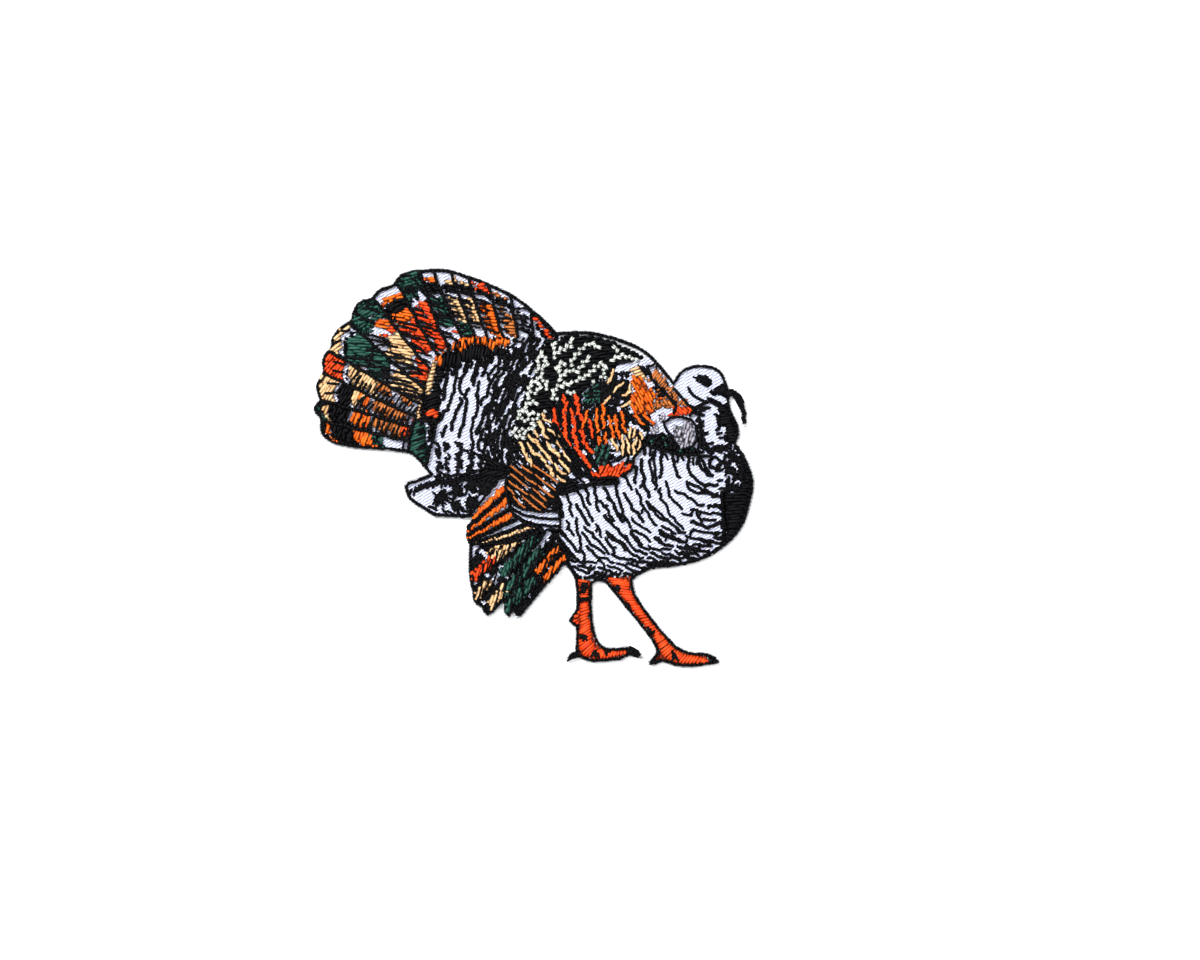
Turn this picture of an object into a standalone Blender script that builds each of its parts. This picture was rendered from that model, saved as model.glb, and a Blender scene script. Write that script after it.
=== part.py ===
"""Embroidered turkey patch, cut to the outline of the bird and lying face up.

A film of heat-seal glue carries a twill cloth, and the stitched areas stand on the cloth: one
plate for each part of the bird that is stitched as a field of its own.
Outlines are in millimetres on the face of the patch: +X towards the bill, +Y towards the back
of the bird. The finished objects are in metres, with the patch's middle at X = Y = 0.
"""
import math

import bmesh
import bpy
import numpy as np

MM = 0.001

# Layers, from the table up
FILM_THICKNESS = 0.2 * MM
CLOTH_THICKNESS = 0.5 * MM
SATIN = 0.8 * MM                 # threads laid side by side over the whole field
LINES = 0.5 * MM                 # bare cloth crossed by single lines of stitches
LAYER_GAP = 0.1 * MM             # between film, cloth and stitches
FIELD_GAP = 0.3 * MM             # between two stitched fields
FILM_MARGIN = 0.15 * MM          # the film stops this far inside the cut edge of the cloth
STITCH_MARGIN = 0.42 * MM        # the stitches stop this far inside it

CURVE_STEPS = 6                  # points of a smooth stretch for each point it is drawn with
STRAIGHT_ENOUGH = 0.045          # mm that a point may stand off the chord before it counts
SHARPEST_MITRE = 2.5             # how far a sharp corner may move, as a multiple of its sides

# The cut edge, clockwise from the root of the lowest tail feather. Each stretch is one smooth
# curve, and two stretches meet in a corner.
CUT_EDGE = [
    # Tail fan, one scallop after another, then its long smooth top edge
    [(-25.0, 2.7), (-30.5, 3.3), (-36.2, 3.7), (-40.4, 4.7), (-42.7, 6.3), (-43.1, 8.1), (-43.0, 9.6)],
    [(-43.0, 9.6), (-44.2, 11.2), (-44.1, 12.4), (-43.2, 13.6)],
    [(-43.2, 13.6), (-43.8, 15.6), (-43.5, 17.3), (-42.4, 19.2)],
    [(-42.4, 19.2), (-42.7, 21.0), (-42.3, 22.5), (-40.9, 24.2)],
    [(-40.9, 24.2), (-40.8, 25.6), (-40.2, 26.9), (-38.6, 28.6), (-36.8, 29.8)],
    [(-36.8, 29.8), (-36.3, 31.8), (-35.0, 33.5), (-32.7, 34.1)],
    [(-32.7, 34.1), (-31.9, 35.3), (-30.6, 36.2), (-28.4, 36.8)],
    [(-28.4, 36.8), (-27.4, 38.3), (-25.4, 39.5), (-21.6, 39.9), (-17.8, 40.0), (-14.6, 39.2),
     (-7.0, 36.3), (-3.0, 34.1), (0.6, 31.3), (2.7, 29.5), (4.6, 27.3)],
    # Back, then the round head
    [(4.6, 27.3), (8.4, 27.6), (12.4, 27.3), (16.4, 26.3), (20.2, 24.9), (23.0, 23.2), (25.6, 20.6),
     (27.9, 17.6)],
    [(27.9, 17.6), (28.7, 19.0), (30.2, 20.1), (32.2, 20.7), (34.4, 20.7), (36.6, 20.1), (37.9, 19.0),
     (38.5, 17.6), (39.0, 15.9)],
    # Snood: a hook that hangs free from the root of the bill, out and back again
    [(39.0, 15.9), (40.8, 15.4), (41.8, 13.9), (42.4, 12.0), (42.6, 10.0), (42.5, 8.7), (42.1, 8.1),
     (41.6, 8.5)],
    [(41.6, 8.5), (41.5, 9.9), (41.1, 11.5), (40.4, 12.9), (39.8, 13.9), (39.3, 13.9)],
    # Throat, chest and belly
    [(39.3, 13.9), (39.4, 12.4), (39.9, 10.9), (40.7, 9.5), (41.1, 8.2), (41.3, 6.9), (41.1, 5.8),
     (40.6, 4.9)],
    [(40.6, 4.9), (42.0, 3.0), (43.2, 0.8), (44.1, -2.2), (44.0, -5.0), (43.2, -8.5), (42.0, -11.7),
     (40.4, -14.0), (38.4, -15.9), (34.2, -18.5), (30.6, -19.6), (26.8, -20.2), (23.8, -20.5),
     (21.6, -21.4), (19.9, -22.6)],
    # Far leg: front of the shank, toe, sole, hind claw, back of the shank
    [(19.9, -22.6), (20.3, -24.6), (21.4, -26.8), (24.7, -31.2), (28.2, -35.2)],
    [(28.2, -35.2), (29.8, -36.2), (31.6, -36.8), (34.4, -36.9), (36.6, -37.9), (37.3, -38.7),
     (36.9, -39.3)],
    [(36.9, -39.3), (34.0, -39.8), (31.4, -40.1), (28.2, -39.9), (25.8, -39.1), (24.2, -39.7),
     (22.9, -39.6), (22.7, -38.9), (23.6, -38.0), (24.3, -36.9)],
    [(24.3, -36.9), (23.7, -35.3), (19.0, -29.2), (14.2, -23.2)],
    # Belly between the legs
    [(14.2, -23.2), (12.9, -23.0), (11.8, -23.5)],
    # Near leg: front of the shank, toe, sole, hind claw, spur
    [(11.8, -23.5), (11.7, -27.0), (12.0, -31.0), (12.6, -33.7), (13.5, -35.2), (14.8, -35.9),
     (17.0, -35.9), (19.2, -35.7), (20.8, -36.5), (21.7, -37.5), (21.6, -38.3)],
    [(21.6, -38.3), (20.4, -38.0), (19.0, -37.9), (17.6, -38.6), (15.4, -38.9), (12.4, -39.1),
     (10.6, -38.9), (9.0, -38.2), (7.7, -38.4), (6.7, -38.9), (6.3, -38.3), (7.0, -37.3),
     (8.1, -36.5)],
    [(8.1, -36.5), (8.2, -34.0), (8.2, -31.9)],
    [(8.2, -31.9), (7.1, -31.3), (6.8, -30.6), (7.4, -29.5), (8.3, -28.2)],
    [(8.3, -28.2), (8.3, -25.0), (8.1, -23.1), (7.5, -21.5), (6.2, -19.7)],
    # Folded wing: its straight lower edge and four pointed tips
    [(6.2, -19.7), (1.6, -25.0), (-2.9, -30.5)],
    [(-2.9, -30.5), (-3.6, -30.3), (-4.1, -29.2)],
    [(-4.1, -29.2), (-5.1, -30.2), (-6.1, -29.5), (-6.3, -27.4)],
    [(-6.3, -27.4), (-8.9, -29.8), (-10.1, -29.6), (-10.6, -28.1)],
    [(-10.6, -28.1), (-12.1, -27.3), (-12.6, -25.0), (-13.3, -20.9), (-13.2, -15.4)],
    [(-13.2, -15.4), (-13.8, -13.7), (-13.3, -11.6), (-12.6, -10.2)],
    # Pointed feathers under the tail
    [(-12.6, -10.2), (-16.0, -10.2), (-19.8, -10.1)],
    [(-19.8, -10.1), (-22.6, -8.4), (-25.2, -6.5), (-26.2, -3.9), (-25.8, -2.8)],
    [(-25.8, -2.8), (-23.6, -2.1), (-21.4, -1.2)],
    [(-21.4, -1.2), (-23.0, 0.9), (-25.0, 2.7)],
]

# Tail feathers: wedges that spread from one point under the back. Angles are in degrees from
# +X, and each feather lies between two of them, from the lowest feather to the last one on top.
FAN_CENTRE = (2.0, 0.0)
FEATHER_EDGES = [176.6, 168.1, 163.4, 157.1, 151.9, 143.1, 135.2, 128.1, 122.2, 119.0, 115.0, 110.6,
                 106.3, 101.1, 95.0, 83.0]
# Main thread of each of those feathers
TAIL_THREADS = ["thread_orange", "thread_brown", "thread_tan", "thread_tan", "thread_green",
                "thread_green", "thread_orange", "thread_red", "thread_green", "thread_tan",
                "thread_tan", "thread_orange", "thread_brown", "thread_black", "thread_black"]
FAN_REACH = 53.0                                         # past the cut edge everywhere
QUILL_REACH = [(83.0, 25.6), (100.0, 26.4), (112.0, 28.2), (122.0, 31.0), (136.0, 31.0),
               (150.0, 28.2), (176.6, 27.4)]             # where the feathers begin, by angle

# Stitched fields from the front of the bird to the back: a field is cut back by every field
# before it, and by the margin along the cut edge, so its own outline may run past both.
HEAD_FIELDS = [
    ("eye", "thread_black", SATIN,
     [(32.0, 18.0), (33.2, 18.5), (34.5, 18.2), (35.4, 17.5), (35.6, 16.8), (35.0, 16.2), (34.1, 16.4),
      (33.4, 17.1)]),
    ("bill", "thread_black", SATIN,
     [(35.2, 14.8), (36.3, 15.8), (37.7, 16.6), (39.4, 17.0), (39.75, 15.3), (39.4, 14.0), (37.6, 14.5),
      (36.4, 14.6)]),
    ("throat", "thread_black", SATIN,
     [(36.9, 12.0), (38.5, 12.4), (39.6, 12.4), (41.3, 9.5), (42.0, 7.0), (40.9, 4.5), (39.7, 4.6),
      (38.4, 5.3), (38.3, 8.2), (36.8, 8.4)]),
    ("head", "twill_white", LINES,
     [(26.6, 18.0), (28.5, 21.6), (39.0, 21.6), (40.2, 17.5), (39.2, 13.2), (38.0, 12.9), (36.2, 13.5),
      (34.2, 13.5), (32.4, 14.1), (31.2, 15.6), (29.6, 14.1)]),
    ("wing_fold", "thread_grey", SATIN,
     [(26.1, 8.9), (27.4, 9.8), (29.9, 9.9), (31.6, 9.3), (32.4, 7.8), (32.4, 5.4), (31.4, 4.2),
      (29.6, 3.9), (28.5, 4.8), (27.6, 6.6), (26.5, 7.7)]),
    ("neck", "twill_white", LINES,
     [(28.0, 16.0), (32.0, 16.0), (39.0, 13.8), (40.4, 9.0), (40.6, 4.6), (39.6, 4.0), (36.0, 2.3),
      (33.2, 2.4), (32.9, 7.4), (32.4, 9.9), (32.2, 11.4), (30.2, 13.4)]),
    ("chest_front", "thread_black", SATIN,
     [(39.4, 5.2), (41.0, 6.0), (46.0, 0.0), (46.0, -6.0), (43.0, -14.0), (38.9, -17.0), (38.4, -14.0),
      (38.7, -12.0), (38.1, -6.0), (38.4, -3.4), (38.0, 0.2), (38.2, 3.4)]),
]

WING_FIELDS = [
    ("shoulder_edge", "thread_brown", SATIN,
     [(22.9, 20.2), (24.4, 20.3), (26.4, 17.9), (28.1, 15.5), (29.8, 13.5), (31.9, 11.3), (30.8, 10.5),
      (28.2, 10.9), (28.6, 12.3), (27.2, 13.8), (26.0, 15.8), (24.6, 16.4), (23.6, 18.2)]),
    ("shoulder_patch", "thread_orange", SATIN,
     [(19.7, 18.2), (21.6, 17.8), (23.0, 15.6), (24.3, 14.2), (26.6, 13.4), (27.4, 12.4), (24.2, 11.7),
      (23.6, 10.9), (20.4, 10.8), (19.4, 12.6), (20.0, 14.6), (19.5, 16.4)]),
    ("shoulder", "twill_white", LINES,
     [(16.4, 20.3), (20.2, 21.2), (24.4, 22.0), (28.4, 17.0), (32.6, 11.2), (31.6, 9.9), (28.0, 10.1),
      (26.0, 9.0), (24.2, 6.7), (22.5, 7.0), (21.2, 8.6), (19.1, 8.8), (18.9, 12.0), (19.9, 13.0),
      (19.6, 17.0), (17.4, 18.8)]),
    ("shoulder_band", "thread_green", SATIN,
     [(21.6, 5.4), (22.8, 7.0), (25.6, 6.7), (27.4, 6.4), (28.4, 4.6), (29.6, 3.6), (31.6, 3.9),
      (33.2, 3.6), (33.2, 2.5), (29.0, 2.7), (25.4, 3.6), (23.0, 4.4)]),
    ("scapular_patch", "thread_tan", SATIN,
     [(9.8, 14.8), (12.4, 17.0), (14.0, 17.4), (15.8, 19.2), (17.4, 18.8), (19.6, 17.0), (19.9, 13.2),
      (18.9, 12.1), (14.2, 12.7), (9.8, 13.0)]),
    ("median_coverts", "thread_orange", SATIN,
     [(10.3, 10.8), (12.6, 12.6), (18.7, 12.2), (19.4, 9.6), (18.8, 7.7), (17.2, 6.3), (15.2, 5.9),
      (14.0, 5.0), (11.9, 4.4), (10.4, 6.6), (9.8, 8.6)]),
    ("greater_coverts", "thread_tan", SATIN,
     [(15.2, 5.8), (17.2, 6.2), (18.9, 7.8), (20.8, 7.4), (22.1, 5.0), (20.2, 2.3), (18.4, 2.5),
      (16.0, 4.3)]),
    ("covert_tips", "thread_red", SATIN,
     [(12.0, 4.3), (14.9, 4.5), (16.2, 4.0), (18.4, 2.4), (19.9, 1.4), (19.4, -0.4), (16.8, -1.9),
      (13.4, -2.0), (12.9, 0.4), (12.0, 2.4)]),
    ("lesser_coverts", "thread_red", SATIN,
     [(4.0, 11.6), (4.4, 13.2), (5.8, 14.3), (9.8, 14.8), (10.0, 13.0), (13.8, 12.9), (14.2, 11.6),
      (10.2, 10.6), (9.6, 8.4), (10.4, 6.2), (12.0, 3.2), (12.9, 0.2), (13.2, -2.2), (11.6, -1.9),
      (10.2, 0.0), (7.4, 3.6), (5.4, 6.8), (4.3, 9.2)]),
    ("wing_bar", "thread_black", SATIN,
     [(3.9, 8.8), (5.6, 6.9), (7.4, 3.9), (10.4, 0.0), (11.8, -1.8), (16.7, -1.7), (16.6, -3.0),
      (11.0, -3.4), (5.6, -5.2), (6.2, -3.4), (8.8, -2.4), (9.6, -1.2), (8.0, 1.2), (5.0, 5.6)]),
    ("tertials", "thread_tan", SATIN,
     [(-3.0, 1.2), (-3.2, 4.6), (-1.6, 5.8), (0.0, 7.6), (1.6, 10.6), (3.8, 11.2), (4.2, 8.6),
      (5.2, 6.0), (8.2, 1.2), (9.9, -1.2), (8.7, -2.6), (6.6, -3.3), (3.4, -1.2), (0.6, 0.5)]),
    ("secondaries", "thread_brown", SATIN,
     [(-4.2, 1.2), (-3.0, 1.4), (0.6, 0.6), (3.4, -1.3), (6.6, -3.3), (6.2, -5.2), (5.0, -5.6),
      (4.7, -8.6), (1.0, -8.7), (-2.6, -8.1), (-5.2, -6.2), (-5.6, -3.4), (-4.8, -1.0)]),
    ("wing_stripes", "thread_black", SATIN,
     [(-5.4, -6.3), (-2.6, -8.1), (1.0, -8.7), (4.8, -8.6), (5.1, -12.4), (2.0, -12.2), (-1.6, -11.2),
      (-4.0, -9.4)]),
    ("primaries", "thread_orange", SATIN,
     [(-15.0, -13.6), (-12.6, -9.6), (-6.8, -2.4), (-5.4, -2.0), (-5.8, -3.4), (-5.4, -6.3),
      (-4.0, -9.2), (-1.6, -11.0), (1.8, -12.1), (-2.0, -14.1), (-6.0, -15.0), (-15.0, -15.2)]),
    ("wing_tip_01", "thread_red", SATIN,
     [(-15.0, -15.0), (-5.0, -15.0), (-2.9, -14.4), (-4.6, -16.8), (-12.2, -24.8), (-15.0, -25.4)]),
    ("wing_tip_02", "thread_tan", SATIN,
     [(-2.9, -14.4), (-1.6, -14.0), (-3.9, -19.0), (-7.0, -23.2), (-10.4, -27.4), (-11.4, -29.6),
      (-14.0, -28.0), (-13.0, -24.4), (-12.2, -24.8), (-4.6, -16.8)]),
    ("wing_tip_03", "thread_tan", SATIN,
     [(-3.9, -19.0), (-4.9, -22.6), (-6.2, -26.8), (-6.4, -28.0), (-9.0, -31.0), (-11.4, -29.6),
      (-10.4, -27.4), (-7.0, -23.2)]),
    ("wing_tip_04", "thread_green", SATIN,
     [(-1.6, -14.0), (1.6, -12.3), (5.0, -12.2), (4.4, -15.0), (1.6, -18.0), (0.2, -20.6),
      (1.4, -22.2), (3.4, -24.4), (-3.0, -32.0), (-6.6, -31.0), (-6.3, -28.0), (-6.2, -26.8),
      (-4.9, -22.6), (-3.9, -19.0)]),
    ("wing_tip_05", "thread_orange", SATIN,
     [(4.4, -14.8), (5.2, -15.4), (6.6, -17.8), (7.4, -19.8), (3.4, -24.6), (1.4, -22.2), (0.2, -20.6),
      (1.6, -18.0)]),
]

LEG_FIELDS = [
    ("near_toe_claw", "thread_black", SATIN,
     [(18.5, -35.0), (21.0, -35.4), (22.6, -37.6), (22.0, -39.0), (18.7, -38.6)]),
    ("far_toe_claw", "thread_black", SATIN,
     [(35.1, -36.0), (37.6, -37.2), (38.4, -39.4), (35.1, -40.6)]),
    ("near_foot", "thread_red", SATIN,
     [(13.4, -34.6), (14.4, -35.2), (18.6, -35.2), (18.8, -39.6), (5.4, -39.6), (6.4, -36.4)]),
    ("far_foot", "thread_red", SATIN,
     [(29.4, -35.0), (35.2, -36.0), (35.2, -41.0), (22.0, -40.6), (22.0, -38.0), (24.2, -36.4)]),
    ("near_shank", "thread_red", SATIN,
     [(7.0, -22.1), (12.8, -22.9), (12.6, -31.0), (14.4, -35.2), (12.0, -36.6), (6.4, -36.6),
      (5.8, -31.0)]),
    ("far_shank", "thread_red", SATIN,
     [(13.4, -22.5), (20.8, -21.5), (30.0, -35.4), (24.0, -37.4), (21.0, -34.0)]),
]

TRUNK_FIELDS = [
    ("back", "thread_black", SATIN,
     [(4.2, 26.8), (4.6, 28.4), (16.0, 28.4), (25.0, 24.0), (24.4, 21.7), (20.2, 21.2), (16.4, 20.3),
      (15.4, 19.2), (13.8, 17.6), (12.2, 17.0), (9.8, 14.8), (5.8, 14.3), (4.4, 13.2), (3.8, 11.2),
      (1.4, 10.6), (-0.2, 7.8), (-1.8, 6.0), (-3.3, 4.8), (-4.4, 5.2), (-4.0, 8.4), (-2.6, 12.4),
      (-1.2, 15.4), (0.4, 18.6), (0.8, 22.0), (2.2, 25.4)]),
    ("undertail", "twill_white", LINES,
     [(-20.8, -0.8), (-27.4, -2.0), (-27.4, -8.0), (-18.0, -11.4), (-12.4, -11.4), (-9.6, -8.4),
      (-6.9, -3.0), (-5.3, -2.2), (-5.0, -0.6), (-9.8, -0.1), (-12.0, -1.2), (-19.6, -2.4)]),
    ("flank_bars", "thread_black", SATIN,
     [(-20.3, 5.2), (-18.0, 5.6), (-14.6, 5.6), (-11.2, 3.4), (-9.6, 0.9), (-12.0, -1.2),
      (-19.6, -2.4), (-21.6, -0.8)]),
    ("tail_stripe", "thread_green", SATIN,
     [(-23.8, 9.2), (-19.8, 9.2), (-20.2, 5.4), (-20.6, -2.0), (-24.0, 0.6), (-25.4, 3.4)]),
    ("belly", "twill_white", LINES,
     [(38.6, -12.8), (39.4, -17.0), (30.0, -21.4), (22.0, -22.0), (19.8, -23.6), (7.0, -23.6),
      (6.2, -19.7), (5.6, -18.4), (12.0, -19.0), (18.6, -16.4), (24.0, -15.0), (33.0, -15.4)]),
    ("breast", "twill_white", LINES,
     [(4.9, -5.3), (6.0, -5.0), (11.0, -3.4), (16.6, -3.0), (16.9, -1.9), (19.4, -0.4), (20.2, 2.3),
      (22.1, 4.8), (25.2, 3.7), (29.0, 2.8), (33.2, 2.6), (36.0, 2.4), (38.4, 3.4), (38.4, -15.0),
      (33.0, -15.4), (24.0, -15.0), (18.6, -16.4), (12.0, -19.0), (6.4, -19.0), (5.0, -15.4)]),
    ("tail_coverts", "thread_orange", SATIN,
     [(-21.0, 25.6), (-14.0, 26.6), (-9.6, 26.8), (-4.9, 26.2), (-5.0, 23.0), (-9.8, 22.0),
      (-14.6, 21.0), (-17.6, 19.2), (-20.4, 22.0)]),
    ("tail_root", "thread_tan", SATIN,
     [(-27.2, 3.4), (-28.0, 12.0), (-25.4, 17.4), (-22.4, 21.6), (-20.4, 22.0), (-17.6, 19.2),
      (-18.8, 17.0), (-18.9, 9.2), (-23.8, 9.2)]),
    ("rump", "twill_white", LINES,
     [(-18.9, 9.2), (-18.9, 17.2), (-17.4, 19.0), (-14.6, 20.8), (-9.8, 21.8), (-4.9, 22.8),
      (-4.8, 26.4), (1.0, 26.4), (4.2, 27.0), (2.2, 25.4), (-2.6, 12.4), (-4.4, 5.2), (-3.2, 4.6),
      (-3.0, 1.2), (-4.4, 1.2), (-5.0, -0.8), (-9.6, 0.4), (-11.2, 3.4), (-14.6, 5.6), (-18.2, 5.6)]),
]

# Threads and cloth: base colour, roughness
FINISHES = {
    "heat_seal_film": ((0.72, 0.73, 0.72), 0.35),
    "twill_white": ((0.86, 0.87, 0.90), 0.85),
    "thread_black": ((0.012, 0.012, 0.014), 0.38),
    "thread_orange": ((0.90, 0.20, 0.02), 0.42),
    "thread_red": ((0.80, 0.07, 0.02), 0.42),
    "thread_tan": ((0.78, 0.50, 0.24), 0.42),
    "thread_brown": ((0.48, 0.19, 0.05), 0.42),
    "thread_green": ((0.02, 0.10, 0.075), 0.42),
    "thread_grey": ((0.30, 0.28, 0.31), 0.45),
}


def smooth(points):
    """Catmull-Rom curve through the points, spaced by the square root of each chord."""
    given = np.array(points, float)
    ends = np.vstack([2 * given[0] - given[1], given, 2 * given[-1] - given[-2]])
    curve = [given[0]]
    for p0, p1, p2, p3 in zip(ends, ends[1:], ends[2:], ends[3:]):
        t1 = math.sqrt(np.linalg.norm(p1 - p0))
        t2 = t1 + math.sqrt(np.linalg.norm(p2 - p1))
        t3 = t2 + math.sqrt(np.linalg.norm(p3 - p2))
        for t in np.linspace(t1, t2, CURVE_STEPS + 1)[1:]:
            a1 = p0 + (p1 - p0) * t / t1
            a2 = p1 + (p2 - p1) * (t - t1) / (t2 - t1)
            a3 = p2 + (p3 - p2) * (t - t2) / (t3 - t2)
            b1 = a1 + (a2 - a1) * t / t2
            b2 = a2 + (a3 - a2) * (t - t1) / (t3 - t1)
            curve.append(b1 + (b2 - b1) * (t - t1) / (t2 - t1))
    return thin_out(np.array(curve))


def thin_out(points, tolerance=STRAIGHT_ENOUGH):
    """Keep only the points that stand further than the tolerance off the chord of the rest."""
    if len(points) < 3:
        return points
    chord = points[-1] - points[0]
    away = points - points[0]
    off = np.abs(chord[0] * away[:, 1] - chord[1] * away[:, 0]) / max(np.linalg.norm(chord), 1e-9)
    worst = int(off.argmax())
    if off[worst] < tolerance:
        return points[[0, -1]]
    return np.vstack([thin_out(points[:worst + 1], tolerance)[:-1],
                      thin_out(points[worst:], tolerance)])


def anticlockwise(outline):
    """The outline as an array that runs anticlockwise."""
    outline = np.array(outline, float)
    x, y = outline.T
    area = np.sum(x * np.roll(y, -1) - y * np.roll(x, -1)) / 2
    return outline if area > 0 else outline[::-1]


def distance_to(outline, points):
    """Shortest distance from each of the points to the closed outline."""
    start = outline
    step = np.roll(outline, -1, axis=0) - start
    along = np.einsum("pej,ej->pe", points[:, None] - start, step) / (step ** 2).sum(1)
    foot = start + np.clip(along, 0, 1)[..., None] * step
    return np.linalg.norm(points[:, None] - foot, axis=2).min(1)


def moved_inward(outline, distance):
    """Outline parallel to the given one, further in (or further out for a negative distance).

    Every corner goes along the bisector of its two sides. Where the shape is too narrow for
    the distance, the corners that come out closer to the first outline than that are left out.
    """
    outline = anticlockwise(outline)
    side = np.roll(outline, -1, axis=0) - outline
    normal = np.stack([-side[:, 1], side[:, 0]], 1) / np.linalg.norm(side, axis=1)[:, None]
    bisector = normal + np.roll(normal, 1, axis=0)
    length = np.linalg.norm(bisector, axis=1)[:, None]
    moved = outline + distance * bisector / length / np.maximum(length / 2, 1 / SHARPEST_MITRE)
    return moved[distance_to(outline, moved) > abs(distance) * 0.96]


def cut_edge():
    """The whole cut edge as one closed outline, moved so that its middle is at the origin."""
    outline = np.vstack([smooth(stretch)[:-1] for stretch in CUT_EDGE])
    middle = (outline.max(0) + outline.min(0)) / 2
    return anticlockwise(outline - middle), middle


def on_the_fan(angle, radius):
    """Point at an angle in degrees and a distance from the centre of the tail fan."""
    turn = math.radians(angle)
    return (FAN_CENTRE[0] + radius * math.cos(turn), FAN_CENTRE[1] + radius * math.sin(turn))


def tail_feathers():
    """Fields of the tail feathers, each a wedge between two edges of the fan."""
    reach_angles, reach = zip(*QUILL_REACH)
    fields = []
    edges = zip(TAIL_THREADS, FEATHER_EDGES, FEATHER_EDGES[1:])
    for number, (slot, low, high) in enumerate(edges, start=1):
        middle = (low + high) / 2
        quills = [on_the_fan(a, np.interp(a, reach_angles, reach)) for a in (low, middle, high)]
        tips = [on_the_fan(high, FAN_REACH), on_the_fan(low, FAN_REACH)]
        fields.append((f"tail_feather_{number:02d}", slot, SATIN, quills + tips))
    return fields


def finish(slot):
    """Material of a slot: plain Principled, because the weave and threads are finer than this."""
    material = bpy.data.materials.get(slot) or bpy.data.materials.new(slot)
    colour, roughness = FINISHES[slot]
    material.use_nodes = True
    shader = material.node_tree.nodes["Principled BSDF"]
    shader.inputs["Base Color"].default_value = (*colour, 1)
    shader.inputs["Roughness"].default_value = roughness
    shader.inputs["Metallic"].default_value = 0
    return material


def plate(name, outline, bottom, thickness, collection):
    """Flat plate of one outline in millimetres: a filled 2D curve, extruded and made a mesh."""
    curve = bpy.data.curves.new(name, "CURVE")
    curve.dimensions = "2D"
    curve.fill_mode = "BOTH"
    curve.extrude = thickness / 2
    spline = curve.splines.new("POLY")
    spline.points.add(len(outline) - 1)
    for point, (x, y) in zip(spline.points, outline):
        point.co = (x * MM, y * MM, 0, 1)
    spline.use_cyclic_u = True
    drawn = bpy.data.objects.new(name + "_curve", curve)
    bpy.context.scene.collection.objects.link(drawn)
    bpy.context.view_layer.update()
    evaluated = drawn.evaluated_get(bpy.context.evaluated_depsgraph_get())
    mesh = bpy.data.meshes.new_from_object(evaluated)
    bpy.data.objects.remove(drawn)
    weld(mesh)
    made = bpy.data.objects.new(name, mesh)
    made.location.z = bottom + thickness / 2
    collection.objects.link(made)
    return made


def weld(mesh):
    """Join the loose caps to the walls and turn all faces outwards."""
    shell = bmesh.new()
    shell.from_mesh(mesh)
    bmesh.ops.remove_doubles(shell, verts=shell.verts, dist=0.00001)
    bmesh.ops.recalc_face_normals(shell, faces=shell.faces)
    shell.to_mesh(mesh)
    shell.free()


def cut(target, cutter, operation):
    """Exact Boolean of two plates, left on the target as a modifier."""
    modifier = target.modifiers.new(operation.lower() + "_" + cutter.name, "BOOLEAN")
    modifier.operation = operation
    modifier.solver = "EXACT"
    modifier.object = cutter


def cutter_plate(name, outline, collection):
    """Tall plate that only cuts others."""
    made = plate(name, outline, -SATIN, FILM_THICKNESS + CLOTH_THICKNESS + 4 * SATIN, collection)
    made.hide_render = True
    made.display_type = "WIRE"
    return made


def boxes_meet(one, other):
    """True where the bounding boxes of two outlines overlap."""
    return bool(np.all(one.min(0) < other.max(0)) and np.all(other.min(0) < one.max(0)))


def snood(middle, bottom, collection):
    """The snood: one narrow column of satin down the hanging hook."""
    path = smooth([(39.95, 14.75), (40.7, 14.2), (41.45, 12.9), (41.85, 11.4), (42.05, 9.9),
                   (42.02, 9.0)]) - middle
    run = np.gradient(path, axis=0)
    across = np.stack([-run[:, 1], run[:, 0]], 1) / np.linalg.norm(run, axis=1)[:, None]
    half_width = np.linspace(0.34, 0.22, len(path))[:, None]
    outline = np.vstack([path + across * half_width, (path - across * half_width)[::-1]])
    made = plate("snood", anticlockwise(outline), bottom, SATIN, collection)
    made.data.materials.append(finish("thread_black"))


def build():
    """Film, cloth and every stitched field."""
    for leftover in list(bpy.data.objects):
        bpy.data.objects.remove(leftover)
    parts = bpy.data.collections.new("turkey_patch")
    cutters = bpy.data.collections.new("cutters")
    for group in (parts, cutters):
        bpy.context.scene.collection.children.link(group)

    edge, middle = cut_edge()
    film = plate("heat_seal_film", moved_inward(edge, FILM_MARGIN / MM), 0, FILM_THICKNESS, parts)
    film.data.materials.append(finish("heat_seal_film"))
    cloth_bottom = FILM_THICKNESS + LAYER_GAP
    cloth = plate("twill_ground", edge, cloth_bottom, CLOTH_THICKNESS, parts)
    cloth.data.materials.append(finish("twill_white"))

    stitch_bottom = cloth_bottom + CLOTH_THICKNESS + LAYER_GAP
    sewn_area = cutter_plate("sewn_area", moved_inward(edge, STITCH_MARGIN / MM), cutters)
    fields = HEAD_FIELDS + WING_FIELDS + LEG_FIELDS + tail_feathers() + TRUNK_FIELDS
    in_front = []
    for name, slot, height, drawn in fields:
        outline = anticlockwise(drawn) - middle
        field = plate(name, outline, stitch_bottom, height, parts)
        field.data.materials.append(finish(slot))
        cut(field, sewn_area, "INTERSECT")
        for other_outline, other in in_front:
            if boxes_meet(outline, other_outline):
                cut(field, other, "DIFFERENCE")
        grown = moved_inward(outline, -FIELD_GAP / MM)
        in_front.append((grown, cutter_plate(name + "_cutter", grown, cutters)))
    snood(middle, stitch_bottom, parts)


build()
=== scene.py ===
"""Embroidered turkey patch, lying face up: twill cloth on glue film, and every stitch on it.

Stitches are laid out on the face of the patch in millimetres (+X towards the bill, +Y towards
the bird's back), inside the outlines of the frame's stitched fields. Each field is sewn with
its own rows, columns, strokes and lines. What one thread sews in one field is one piece, and
its mesh holds a small bowed tube for each stitch.

Angles are in degrees from +X. A keep(x, y) is true where something is sewn. A heading and a
spacing are a number, or a function of x and y.
"""

from collections import defaultdict

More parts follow.
